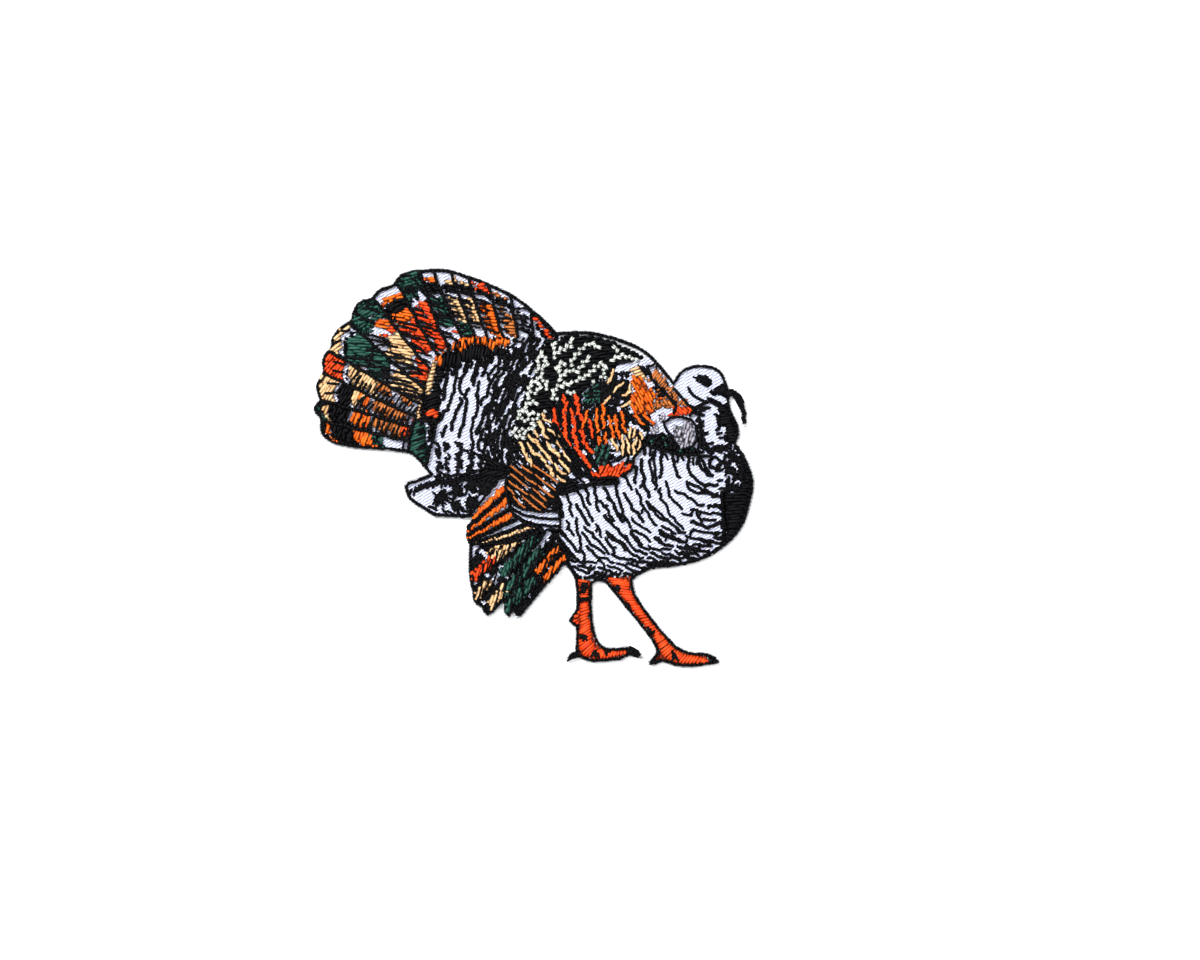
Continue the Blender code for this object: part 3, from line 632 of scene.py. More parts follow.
# Each tail feather, from the lowest: its tip and the arc behind it as thread and mm, the length of its
# black bar in mm, and its vane as thread, share of the rest of the feather and share of its width
TAIL_FEATHERS = [
    (("black", 1.4), ("orange", 0.8), 4.4, [("orange", 0.36, 2.0), ("green", 0.16, 0.9), ("bare", 0.4, 0)]),
    (("green", 1.8), ("tan", 0.9), 4.6, [("orange", 0.3, 0.95), ("bare", 0.1, 0), ("brown", 0.42, 0.85),
                                         ("red", 0.16, 0.8)]),
    (("tan", 3.8), ("bare", 0.6), 2.8, [("tan", 0.16, 0.9), ("orange", 0.1, 0.8), ("bare", 0.08, 0),
                                        ("brown", 0.54, 0.85)]),
    (("red", 4.6), ("bare", 0.8), 0.4, [("tan", 0.38, 0.9), ("brown", 0.24, 0.7), ("bare", 0.1, 0),
                                        ("brown", 0.2, 0.5)]),
    (("tan", 1.9), ("bare", 1.0), 0.6, [("green", 0.52, 0.97), ("bare", 0.05, 0), ("tan", 0.43, 0.92)]),
    (("green", 3.9), ("bare", 0.0), 0.0, [("green", 0.1, 0.95), ("orange", 0.15, 0.45), ("red", 0.1, 0.4),
                                          ("tan", 0.36, 0.85), ("bare", 0.05, 0), ("red", 0.24, 0.95)]),
    (("bare", 2.4), ("orange", 1.0), 2.7, [("orange", 0.26, 0.95), ("red", 0.60, 0.92), ("bare", 0.14, 0)]),
    (("green", 5.0), ("bare", 0.6), 0.5, [("bare", 0.08, 0), ("red", 0.92, 0.85)]),
    (("bare", 1.9), ("orange", 1.0), 2.6, [("bare", 0.08, 0), ("green", 0.64, 0.88), ("bare", 0.1, 0),
                                           ("red", 0.1, 0.5)]),
    (("bare", 2.9), ("tan", 0.6), 2.5, [("bare", 0.06, 0), ("tan", 0.6, 0.8), ("green", 0.3, 0.85)]),
    (("bare", 1.9), ("tan", 0.8), 2.6, [("bare", 0.08, 0), ("tan", 0.66, 0.72), ("bare", 0.1, 0)]),
    (("bare", 1.0), ("red", 1.5), 1.9, [("bare", 0.14, 0), ("orange", 0.86, 0.82)]),
    (("bare", 1.8), ("brown", 0.8), 1.9, [("bare", 0.08, 0), ("brown", 0.84, 0.62)]),
    (("bare", 2.8), ("black", 0.5), 0.0, [("bare", 0.1, 0), ("black", 0.18, 0.6), ("bare", 0.24, 0),
                                          ("black", 0.26, 0.7), ("bare", 0.2, 0)]),
    (("black", 2.0), ("red", 1.0), 1.3, [("red", 0.22, 0.8), ("bare", 0.14, 0), ("black", 0.4, 0.75)]),
]
FEATHER_NAMES = [f"tail_feather_{number:02d}" for number in range(1, len(TAIL_FEATHERS) + 1)]


def bearing_of(x, y):
    """Direction of a place from the fan's centre, from 0 to 360."""
    return np.degrees(np.arctan2(y - FAN_CENTRE[1], x - FAN_CENTRE[0])) % 360


def fan_edge(edge, reach):
    """Bearing of a feather's edge, given at the rim and the root, at distances between them."""
    share = np.clip((TAIL_RIM - reach) / (TAIL_RIM - TAIL_ROOT), 0, 1)
    return edge[0] + (edge[1] - edge[0]) * share


def feather_parts(recipe, length):
    """Parts of a feather of a length as thread, two distances from its tip and share of its width."""
    tip, arc, bar, vane = recipe
    start = tip[1] + arc[1] + bar
    rest = length - start
    parts = [(tip[0], OVER_THE_RIM, tip[1], WHOLE_WIDTH), (arc[0], tip[1], tip[1] + arc[1], WHOLE_WIDTH),
             ("black", tip[1] + arc[1], start, WHOLE_WIDTH if bar > 2.55 else 0.93)]
    done = 0.0
    for thread, share, width in vane:
        parts.append((thread, start + done * rest, start + (done + share) * rest, width))
        done += share
    return parts, start, rest


def tail_feather(number, recipe):
    """A feather between two edges of the fan, from the cut edge to its quill: satin for each of its
    parts, then black barbs that stand on its upper edge and bend as they cross it."""
    fields = FEATHER_NAMES[max(0, number - 2):number + 1]
    high, low = TAIL_EDGES[number - 1:number + 1]
    quill = np.hypot(*(np.vstack(OUTLINES[FEATHER_NAMES[number - 1]]) - FAN_CENTRE).T).min()
    bearing = bearing_of(*CUT_EDGE.T)
    reach = np.hypot(*(CUT_EDGE - FAN_CENTRE).T)
    near = (bearing > low[0] - 6) & (bearing < high[0] + 6) & (reach > quill)
    order = np.argsort(bearing[near])
    limit = bearing[near][order], reach[near][order]

    def place(x, y):
        """Distance from the cut edge, and share of the way from one edge to the other."""
        turn = bearing_of(x, y)
        away = np.hypot(x - FAN_CENTRE[0], y - FAN_CENTRE[1])
        first, last = fan_edge(low, away), fan_edge(high, away)
        return np.interp(turn, *limit) - away, (turn - first) / (last - first)

    def point_at(away, share):
        """The point that has this distance and this share."""
        out = np.interp((low[0] + high[0]) / 2, *limit) - away
        first, last = fan_edge(low, out), fan_edge(high, out)
        turn = first + share * (last - first)
        return FAN_CENTRE + toward(turn) * (np.interp(turn, *limit) - away)
    parts, vane_start, vane_length = feather_parts(recipe, np.interp((low[0] + high[0]) / 2, *limit) - quill)
    chance = dice(str(parts))
    barbs = vane_start + 0.4, vane_start + vane_length
    axis = point_at(barbs[1], 0.5) - point_at(barbs[0], 0.5)
    inward = np.degrees(np.arctan2(axis[1], axis[0]))
    barb_turn = 82 if number <= TURNED_FEATHERS else 170 - low[0]
    barb_angle = inward + barb_turn
    for thread, start, stop, far in parts:
        if thread == "bare":
            continue
        angle = barb_angle + 4 if far < 1 else inward + 78

        def keep(x, y):
            away, share = place(x, y)
            away = away + 1.1 * fringe(x, y, angle)
            rim = share + 0.36 * fringe(x, y, angle, 3.0)
            return (away >= start) & (away < stop) & (share > -0.04) & (share < 1.04) & (rim < far)
        for field in fields:
            fill(field, thread, angle, keep, longest=2.6)
        for _ in range(int(2.0 * (stop - start)) if thread == "green" else 0):
            foot = point_at(chance.uniform(start, stop), chance.uniform(0.1, 0.9))
            stroke = toward(barb_angle + chance.normal(0, 24)) * chance.uniform(0.8, 2.0)
            fleck = np.array([foot, foot + stroke])
            for field in fields:
                line(field, "black", fleck, level=ON_SATIN, width=FEATHER_LINE, keep=keep)
    for away in np.arange(*barbs, 0.98 / np.sin(np.radians(barb_turn))):
        foot = point_at(away + chance.normal(0, 0.12), 1.0)
        across = np.linalg.norm(point_at(away, 0.0) - point_at(away, 1.0))
        depth = 0.66 if number < 9 else 0.58
        length = depth * chance.uniform(0.6, 1.25) * across / np.sin(np.radians(barb_turn))
        turns = barb_angle + chance.normal(0, 5) - np.linspace(-8, 12, 6)
        barb = foot + np.cumsum([toward(turn) for turn in turns], axis=0) * length / 6
        path = wander(evenly(np.vstack([foot, barb])), 0.05, 1.3, chance)
        for field in fields:
            width = FEATHER_LINE * chance.uniform(0.9, 1.2)
            line(field, "black", path, level=ON_SATIN, width=width, stitch=1.1)
    tip, tip_length = recipe[0]
    if tip in ("tan", "red", "green"):
        for share in (0.3, 0.7):
            fleck = np.array([point_at(tip_length * 0.55, share), point_at(tip_length * 1.1, share - 0.15)])
            for field in fields:
                line(field, "black", fleck, level=ON_SATIN, width=LINE * 0.9)


def tail():
    """Fifteen feathers that spread like a fan, each with a black line at its edges."""
    for number, recipe in enumerate(TAIL_FEATHERS, 1):
        tail_feather(number, recipe)
    reach = np.arange(24.0, 56.0, FINE)
    for number, edge in enumerate(TAIL_EDGES[1:-1], 1):
        turn = np.radians(fan_edge(edge, reach))
        path = FAN_CENTRE + reach[:, None] * np.stack([np.cos(turn), np.sin(turn)], 1)
        path = wander(path, 0.1, 4.2, dice(f"feather edge {number}"))
        line(FEATHER_NAMES[number - 1], "black", path, inside_of=STITCHED, level=ON_SATIN + 0.04,
             keep=clear_of_trunk, width=LINE * 1.1)


def clear_of_trunk(x, y):
    """True away from the fields that the tail feathers' edges stop at."""
    return ~in_fields(("rump", "back", "tail_coverts", "tail_root", "tail_stripe"), np.stack([x, y], -1))


def tail_base():
    """The short feathers at the root of the tail, and the bars beneath them."""
    def orange(x, y):
        return (y + 1.6 * fringe(x, y, 80) > 24.7 + 0.06 * x + 0.4 * ripple(x, y, 3.0)) | (x < -18.4)

    def tan(x, y):
        edge = 0.8 * fringe(x, y, 20)
        return (x + edge < -22.4) & (y > 9.6) | (y + edge > 14.8) & (x < -20.6 + 0.2 * (y - 15))

    def red(x, y):
        return (y > 10.2) & (y < 11.6) & (x > -22.4) & (x < -19.0) | (x < -22.6) & (y < 9.6)
    fill("tail_coverts", "orange", 80, orange)
    fill("tail_coverts", "black", 80, lambda x, y: ~orange(x, y), ragged=0.35)
    fill("tail_root", "tan", 20, lambda x, y: tan(x, y) & ~red(x, y))
    fill("tail_root", "red", 20, red)
    fill("tail_root", "black", 20, lambda x, y: ~red(x, y) & ~tan(x, y))
    fill("tail_stripe", "green", 20, lambda x, y: x + 1.2 * fringe(x, y, 20) < -21.7 + (9.2 - y) * 0.10)
    fill("tail_stripe", "black", 20, lambda x, y: x + 1.2 * fringe(x, y, 20) > -21.4 + (9.2 - y) * 0.10)
    for field, points, angle, length, spacing in [
            ("tail_coverts", [(-18.4, 23.4), (-13.0, 24.4), (-5.4, 25.8)], 84, 1.2, 1.3),
            ("tail_root", [(-21.6, 20.4), (-21.6, 15.0), (-21.4, 9.6)], 205, 1.7, 0.9),
            ("tail_root", [(-24.6, 14.0), (-24.4, 11.0), (-24.2, 9.4)], 40, 1.2, 0.9),
            ("tail_stripe", [(-22.0, 9.0), (-21.6, 4.4), (-20.4, 0.4)], 205, 1.8, 0.95)]:
        comb(field, "black", points, angle, length, spacing, ON_SATIN)
    stripes("flank_bars", [(-20.8, 5.6), (-20.5, 1.5), (-20.2, -2.6)],
            [(-8.8, 5.4), (-9.4, 1.4), (-10.2, -2.0)],
            [("bare", 0.7), ("black", 1.0), ("bare", 0.5), ("black", 0.8), ("bare", 1.0), ("black", 1.3),
             ("bare", 0.7), ("black", 1.1), ("bare", 0.6), ("black", 1.4)], ragged=0.26, swing=0.2)


# ------------------------------------------------------------------ trunk


def rump():
    """Open cloth with strokes that follow the lie of the feathers, closer together to the right."""
    def heading(x, y):
        return 76 + 36 * smoothly(9.5 - y, 0, 9) * smoothly(x, -16, -8) - 22 * smoothly(y + x, 4, 16)

    def apart(x, y):
        return 1.58 - 0.66 * smoothly(x + 0.2 * (12 - y), -14.5, -8.0)
    streaks("rump", "black", heading, apart, (6.0, 17.0), wobble=22, hooks=0.6, wavelength=3.4,
            width=LINE * 1.12, closer=0.52)
    comb("rump", "black", [(-17.4, 19.6), (-13.6, 20.8), (-9.8, 21.8), (-5.2, 23.0)], -105, 1.7)
    ground("rump", 72, lambda x, y: x + 0.2 * (12 - y) + 0.8 * ripple(x, y, 4.0) > -8.6, bare=0.52,
           length=6.0)
    fill("rump", "black", -32, lambda x, y: (y + 0.5 * x < -2.0 + 0.8 * ripple(x, y, 3.0)) & (x > -12.6))


def undertail():
    """Two pointed feathers: bare cloth with black spots and a comb of short strokes above."""
    comb("undertail", "black", [(-24.4, -4.4), (-21.4, -3.0), (-17.0, -2.2), (-12.6, -1.4)], -115, 1.5, 0.75)
    line("undertail", "black", curve([(-23.6, -4.6), (-20.4, -3.2), (-15.0, -2.6), (-9.0, -1.2)]), cords=2)
    fill("undertail", "black", 24, lambda x, y: (x > -10.6 + 0.7 * ripple(x, y, 2.5)) & (y > -7.4),
         longest=2.0, level=ON_CLOTH + 0.1)
    for middle, size in [((-18.8, -6.2), 2.2), ((-15.9, -4.6), 2.3), ((-15.6, -7.6), 1.3),
                         ((-12.2, -3.2), 2.2), ((-12.2, -6.8), 2.2), ((-9.6, -4.4), 2.4),
                         ((-9.4, -7.6), 1.7)]:
        knot("undertail", "black", middle, size * 1.16, ON_CLOTH + 0.2, 15)
    streaks("undertail", "black", lambda x, y: -18 + 40 * smoothly(x, -14, -8), 1.3, (1.8, 4.5),
            keep=lambda x, y: (y < -7.6) | (x > -9.6), hooks=0.6)


def back():
    """Solid black rows under wandering chains of silver links, which crowd together at the left."""
    def heading(x, y):
        return 66 - 66 * smoothly(x, 1, 14) - 22 * smoothly(x, 14, 24)

    def apart(x, y):
        return 1.35 + 0.5 * smoothly(x, 0.5, 7.0) - 0.3 * smoothly(x, 15, 21)
    fill("back", "black", 8, lambda x, y: deep(x, y, 1.15) & ((x < 17) | deep(x, y, 1.5)), longest=3.0,
         crown=0.06)
    for path in flow_paths("back", heading, apart, (4.0, 15.0), name="chains", wobble=95, wavelength=7.5,
                           least=(4.0, 2.0, 1.0), loose=1.2, keep=lambda x, y: deep(x, y, 1.9)):
        chain("back", "silver", path)


CROP = np.array([36.4, 1.4])              # the strokes of breast and belly sweep round this point


def round_the_crop(x, y):
    """Heading of a circle round the crop."""
    return np.degrees(np.arctan2(y - CROP[1], x - CROP[0])) + 90


def breast_and_belly():
    """Bare cloth with long broken strokes that sweep round the crop, closest under the belly."""
    def apart(x, y):
        return 1.30 + 0.64 * smoothly(y, -10, -1) * smoothly(x, 18, 28) - 0.16 * smoothly(-y, 11, 17)
    streaks("breast", "black", round_the_crop, apart, (5.0, 14.0), wobble=28, wavelength=5.0, hooks=0.5,
            width=LINE * 1.12)
    streaks("belly", "black", lambda x, y: 0.5 * round_the_crop(x, y), 0.96, (2.0, 8.0), wavelength=4.2,
            hooks=0.3)
    comb("breast", "black", [(22.4, 4.4), (25.6, 3.0), (29.0, 2.2), (33.0, 2.0)], -84, 1.3, 1.1)
    comb("breast", "black", [(38.2, 3.0), (37.8, -4.0), (37.4, -5.0), (37.6, -13.0)], 178, 1.2, 1.9,
         uneven=0.6)
    fill("breast", "black", 4, lambda x, y: (x > 37.5) & (y < -4.6))
    fill("belly", "black", 4, lambda x, y: (x > 37.5) & (y > -14.6))
    comb("belly", "black", [(19.5, -21.5), (24.0, -20.0), (30.0, -18.2), (35.0, -15.4), (37.4, -13.4)], 160,
         1.9, 1.0)
    comb("belly", "black", [(7.4, -15.0), (9.4, -19.0), (12.4, -21.8), (17.0, -22.0)], 40, 1.5)


def chest_front():
    """The front of the chest: black rows below, and dense black strokes on bare cloth above."""
    fill("chest_front", "black", 4, longest=3.4,
         keep=lambda x, y: (y < -4.4 + 0.8 * np.sin(1.7 * x)) | (x > 42.1 - 0.24 * abs(y + 1)))
    ground("chest_front", 62, lambda x, y: (y > -5.0) & (x < 42.8), bare=0.3, length=2.6)
    streaks("chest_front", "black", 80, 0.8, (1.2, 3.6), keep=lambda x, y: (y > -4.8) & (x < 42.6),
            least=(0.8,), wobble=80, level=ON_CLOTH + 0.1)


# ------------------------------------------------------------------ wing


def shoulder_patches():
    """Orange, brown and red patches at the shoulder, the brown ones along its upper edge."""
    fill("shoulder_patch", "orange", -62, lambda x, y: (x - 19.4 > 2.2 * fringe(x, y, -62) - 0.4)
         & ((x < 24.0) | (y > 13.4)), ragged=0.36, longest=1.4, crown=0.24)
    fill("shoulder_patch", "brown", -50, lambda x, y: (x >= 24.0) & (y <= 13.4), longest=1.3, crown=0.2)
    outer = curve([(24.7, 20.8), (26.6, 18.7), (28.8, 16.2), (30.9, 13.5), (32.2, 11.4)])
    inner = curve([(22.4, 19.3), (23.7, 16.8), (25.3, 14.7), (27.8, 12.6), (29.8, 10.8)])
    column("shoulder_edge", "brown", outer, inner, slant=1.4, ragged=0.5, keep=lambda x, y: y > 12.3,
           pitch=0.5, width=0.56)
    streaks("shoulder_edge", "black", -60, 1.7, (0.8, 1.6), hooks=0.0, level=ON_SATIN,
            keep=lambda x, y: y > 12.3, name="flecks", width=LINE * 0.6, least=(0.6,))
    fill("shoulder_edge", "red", -40, lambda x, y: y < 12.2, longest=1.4, crown=0.2)
    knot("shoulder", "red", (28.4, 11.2), 1.8, ON_UNDERLAY, 9)
    streaks("shoulder_edge", "black", -52, 1.5, (1.5, 5.0), level=ON_SATIN,
            keep=lambda x, y: (x + y < 41.4) & (y > 12.0), wobble=30)
    fill("wing_fold", "grey", 74, lambda x, y: (x + 1.6 * fringe(x, y, 74) > 28.0 - 0.3 * (y - 7))
         & (y + 2.0 * fringe(x, y, 74, 2.0) < 8.8) & (x < 32.0), longest=1.3, ragged=0.3, crown=0.3)
    fill("shoulder_band", "black", 62, lambda x, y: ripple(x, y, 2.6) > -0.62, longest=2.0, ragged=0.25)
    fill("shoulder_band", "green", 62, lambda x, y: ripple(x, y, 2.6) < -0.52, longest=2.0, ragged=0.25)


def shoulder():
    """Bare cloth between the patches, with a dark side, spots, and orange, tan and grey strokes."""
    def dark(x, y):
        return (x < 19.0 + 0.6 * ripple(x, y, 3.0)) & (y < 19.4) | (x < 23.4) & (y < 11.0)
    column("shoulder", "tan", curve([(18.8, 20.0), (19.8, 18.6), (20.9, 17.1)]),
           curve([(20.9, 21.0), (21.9, 19.4), (22.7, 17.9)]), slant=0.3, crown=0.2, level=ON_UNDERLAY + 0.1)
    for spot in [(21.4, 19.6), (22.8, 19.0), (24.0, 18.0), (24.9, 16.0), (25.6, 15.0)]:
        knot("shoulder", "black", spot, 1.5, ON_CLOTH + 0.3)
    ground("shoulder", -66, dark, bare=0.12, length=4.0)
    lanes("shoulder", "orange", -50, 1.3, (1.4, 3.0), width=0.7, level=ON_UNDERLAY + 0.1, name="orange",
          keep=lambda x, y: (x > 20.2) & (x < 23.8) & (y < 10.9) & (y > 8.4))
    streaks("shoulder", "black", 70, 0.9, (0.8, 1.8), keep=lambda x, y: (x > 23.4) & (x < 26.0) & (y < 10.6),
            least=(0.6,), wobble=70, name="smudge", width=LINE * 0.6)
    streaks("shoulder", "grey", 76, 0.6, (0.8, 2.0), keep=lambda x, y: (x > 23.2) & (x < 26.2) & (y < 11.0),
            least=(0.6,), wobble=60, name="grey")
    streaks("shoulder", "black", -62, 1.0, (1.2, 3.6), keep=dark, hooks=0.7, wobble=50)
    comb("shoulder", "brown", [(25.2, 15.6), (26.4, 14.4), (28.0, 12.4)], 200, 1.2, 0.7, ON_CLOTH + 0.2)


def wing_field(field, heading, apart=0.84, reach=(2.5, 8.0), keep=None, angle=-60, bare=0.2, **manner):
    """The black strokes, with slivers of cloth between them, that a wing field's lanes are sewn on."""
    ground(field, angle, keep, bare)
    streaks(field, "black", heading, apart, reach, keep=keep,
            **{"hooks": 0.15, "wobble": 18, "name": "ground", **manner})


def coverts():
    """Rows of short feathers over the wing: tan, red and orange lanes on black."""
    def falling(x, y):
        return -82 + 30 * smoothly(7.5 - y, 0, 6) + 14 * smoothly(x, 9, 13)

    def rising(x, y):
        return 93 + 2.4 * (x - 14)

    def leaning(x, y):
        return 96 - 3 * (x - 18)
    wing_field("scapular_patch", 62, 0.7, keep=lambda x, y: x > 12.6, wobble=36, bare=0.08, angle=62)
    ground("scapular_patch", 40, lambda x, y: x < 13.2, bare=0.06)
    streaks("scapular_patch", "green", 36, 0.62, (0.8, 2.6), name="green", keep=lambda x, y: x < 13.4,
            wobble=70, least=(0.7,), width=LINE * 0.7, level=ON_CLOTH + 0.26)
    lanes("scapular_patch", "tan", 62, 1.8, (1.6, 3.4), width=0.8, keep=lambda x, y: x > 14.0, wobble=30)
    wing_field("lesser_coverts", falling, 0.9, angle=-76, bare=0.12)
    lanes("lesser_coverts", "red", falling, 1.35, (7.0, 17.0), width=1.1, wobble=20, wavelength=5.0, lean=30,
          closer=0.94, least=(4.0, 2.0), length=1.3, strand=0.5)
    wing_field("median_coverts", rising, 0.9, angle=93, bare=0.14)
    lanes("median_coverts", lambda x, y: "red" if x < 11.6 and y < 9.5 else "orange", rising, 1.15,
          (3.4, 8.0), width=0.95, wobble=20, wavelength=4.0, closer=0.9, least=(3.0, 1.6, 1.0), lean=24,
          length=1.3)
    wing_field("greater_coverts", leaning, 0.9, angle=94, bare=0.2)
    lanes("greater_coverts", "tan", leaning, 0.95, (2.0, 4.8), width=0.8, wobble=26, closer=0.86)


def covert_tips_and_bar():
    """The red tips of the coverts and the black bar behind them."""
    def left_tip(x, y):
        return (x < 15.4) & (y > 0.2)
    fill("covert_tips", "green", 70, lambda x, y: left_tip(x, y) & (fringe(x, y, 70) < -0.1), longest=1.5)
    fill("covert_tips", "black", 70, lambda x, y: left_tip(x, y) & (fringe(x, y, 70) >= -0.1), longest=1.5)
    fill("covert_tips", "red", 62, longest=1.6, ragged=0.25,
         keep=lambda x, y: (x > 13.0) & (y + 1.8 * fringe(x, y, 62) < 0.6 + 0.25 * (x - 15.0)))
    wing_field("covert_tips", 32, 1.3, angle=32, bare=0.5, keep=lambda x, y: (x > 15.2) & (y > 0.6))
    wing_field("wing_bar", lambda x, y: -62 + 44 * smoothly(x, 7, 13), 1.1, wobble=6, reach=(4.0, 14.0),
               angle=-58, bare=0.3, keep=lambda x, y: y > -3.4 + 0.1 * (x - 8))
    fill("wing_bar", "black", 24, lambda x, y: y + 0.8 * fringe(x, y, 24) < -3.2 + 0.1 * (x - 8))


def flight_feathers():
    """The long feathers of the wing: fans of fine lanes, then stripes."""
    def outer(x, y):
        return -62 + 2.0 * (x + 3) - 0.8 * (y - 4)

    def inner(x, y):
        return -46 + 1.2 * (x + 6) + 0.8 * (y + 8)
    wing_field("tertials", outer, 0.9, (3.0, 10.0), angle=-58, bare=0.16)
    lanes("tertials", "tan", outer, 1.3, (3.0, 9.0), width=0.9, wobble=26, wavelength=4.0, closer=0.9,
          keep=lambda x, y: y < 11.2 - 1.5 * (x - 2.4))
    wing_field("secondaries", inner, 0.9, (3.0, 10.0), wobble=10, width=LINE * 0.8, angle=-44, bare=0.2)
    lanes("secondaries", "brown", inner, 1.2, (2.0, 7.0), width=0.46, wobble=7, strand=0.36, lean=8)
    stripes("wing_stripes", [(-5.8, -6.0), (-2.6, -7.8), (1.0, -8.4), (5.2, -8.4)],
            [(-4.2, -9.9), (-1.6, -11.6), (2.0, -12.6), (5.4, -12.9)],
            [("black-", 0.45), ("bare", 0.55)], repeats=3, swing=0.05)
    stripes("primaries", [(-4.4, -0.4), (-9.4, -6.0), (-15.0, -12.4)],
            [(2.4, -12.4), (-5.0, -14.6), (-13.4, -16.4)],
            [("bare", 0.6), ("orange", 1.3), ("black-", 0.9), ("orange", 1.4), ("bare", 0.3),
             ("black-", 0.9), ("orange", 1.4), ("black-", 0.9), ("bare", 0.8), ("black-", 0.8),
             ("tan", 0.8), ("black-", 0.8)], slant=0.9, ragged=0.2)


# Bands of the feathers below the wing: thread, both ends of the lower edge, and width
WING_BANDS = [
    ("tan", (-7.6, -19.2), (-2.8, -15.0), 1.9),
    ("tan", (-9.4, -17.4), (-5.4, -15.2), 0.8),
    ("red", (-13.2, -24.0), (-7.0, -18.6), 1.9),
    ("bare", (-9.4, -24.2), (-4.2, -18.8), 0.8),
    ("tan", (-12.2, -27.6), (-8.2, -23.2), 1.6),
    ("tan", (-8.4, -28.6), (-4.8, -24.4), 1.8),
    ("green", (-5.2, -26.4), (-0.6, -20.6), 2.0),
    ("green", (-5.6, -22.2), (1.6, -14.0), 2.0),
    ("green", (-5.6, -30.0), (1.0, -23.0), 2.1),
    ("green", (-1.6, -21.6), (2.4, -17.0), 1.9),
    ("bare", (1.0, -17.4), (3.6, -13.2), 1.1),
    ("bare", (-12.6, -18.6), (-10.6, -15.0), 1.2),
    ("orange", (0.9, -21.6), (5.6, -16.4), 1.4),
    ("orange", (2.4, -23.0), (7.2, -18.0), 1.4),
]
WING_TIPS = [f"wing_tip_{number:02d}" for number in range(1, 6)]
BAND_LEAN = 73                            # direction of the bands' stitches


def in_band(x, y, start, end, width):
    """True in a straight band of a width, to the left of the line from its start to its end."""
    run = np.array(end) - np.array(start)
    length = np.linalg.norm(run)
    along = run / length
    s = (x - start[0]) * along[0] + (y - start[1]) * along[1]
    t = (y - start[1]) * along[0] - (x - start[0]) * along[1]
    return (s > 0) & (s < length) & (t > 0) & (t < width)


def wing_tips():
    """The barbed feathers below the wing: leaning satin in each band, crossed by black teeth, on
    black rows that leave the bare bands open."""
    bare = [band for thread, *band in WING_BANDS if thread == "bare"]
    for field in WING_TIPS:
        ground(field, 48, lambda x, y: ~np.any([in_band(x, y, *band) for band in bare], axis=0), bare=0.08)
    for thread, *band in WING_BANDS:
        if thread != "bare":
            sew_band(thread, *band)


def sew_band(thread, start, end, width):
    """Satin that leans across one band, and the black teeth over it."""
    start, end = np.array(start), np.array(end)
    slope = np.degrees(np.arctan2(*(end - start)[::-1]))

    def keep(x, y):
        away = 0.5 * fringe(x, y, BAND_LEAN, start[0])
        return in_band(x - away, y - away, start, end, width)
    for field in WING_TIPS:
        fill(field, thread, BAND_LEAN, keep, longest=1.9, ragged=0.2)
    for step in np.arange(0.7, np.linalg.norm(end - start) + 0.6, 1.6 if thread == "green" else 2.1):
        foot = start + toward(slope) * step - toward(slope + 90) * 0.3
        chance = dice(thread + str(round(float(foot[0] + foot[1]), 2)))
        tooth = toward(BAND_LEAN + chance.normal(0, 7)) * width / np.sin(np.radians(BAND_LEAN - slope))
        bend = foot + tooth * 0.5 + toward(slope) * 0.1
        path = curve([foot, bend, foot + tooth * chance.uniform(0.6, 1.0)])
        for field in WING_TIPS:
            line(field, "black", path, level=ON_SATIN, width=LINE * 0.72)


# ------------------------------------------------------------------ head, legs and edges


def head_and_neck():
    """Bare cloth with a black eye, bill, jaw line and throat."""
    fill("eye", "black", -24, ragged=0.03, pitch=0.3, width=0.36)
    fill("bill", "black", 60, ragged=0.06, pitch=0.34, width=0.4)
    fill("throat", "black", 10, ragged=0.2)
    fill("snood", "black", 30, ragged=0.05, pitch=0.36, width=0.42)
    for jaw in ([(31.0, 16.0), (31.4, 15.0), (32.4, 14.1), (34.0, 13.4), (36.0, 12.9), (37.6, 11.8),
                 (38.4, 10.4)],
                [(34.8, 13.9), (36.4, 13.3), (37.6, 12.5), (38.4, 11.4)]):
        line("head", "black", curve(jaw), width=LINE * 1.05, inside_of=[CUT_EDGE], level=ON_CLOTH + 0.2)
    fill("neck", "black", -14, lambda x, y: (x < 32.3 + 0.9 * fringe(x, y, -14) + 0.4 * ripple(x, y, 3.0))
         & (y < 12.6), longest=1.8, ragged=0.3)
    for foot, reach in [((32.2, 12.0), 3.3), ((32.4, 10.8), 2.3), ((32.5, 9.5), 1.5), ((32.6, 8.2), 1.7),
                        ((32.6, 6.9), 2.0), ((32.4, 5.6), 3.0), ((32.6, 4.4), 3.4), ((34.6, 3.4), 3.2),
                        ((36.4, 3.6), 2.8)]:
        chance = dice("neck" + str(foot))
        for turn in (30, 8, -16):
            tip = np.array(foot) + toward(turn + chance.normal(0, 8)) * reach * chance.uniform(0.55, 1.05)
            line("neck", "black", np.array([foot, tip]), width=LINE * 1.1, level=ON_CLOTH + 0.1)
    comb("neck", "black", [(38.2, 12.6), (37.2, 9.6), (37.8, 6.0)], 190, 0.9, 0.6)
    streaks("neck", "black", 30, 0.8, (1.2, 3.0), wobble=50, keep=lambda x, y: y < 4.8, least=(1.0,))


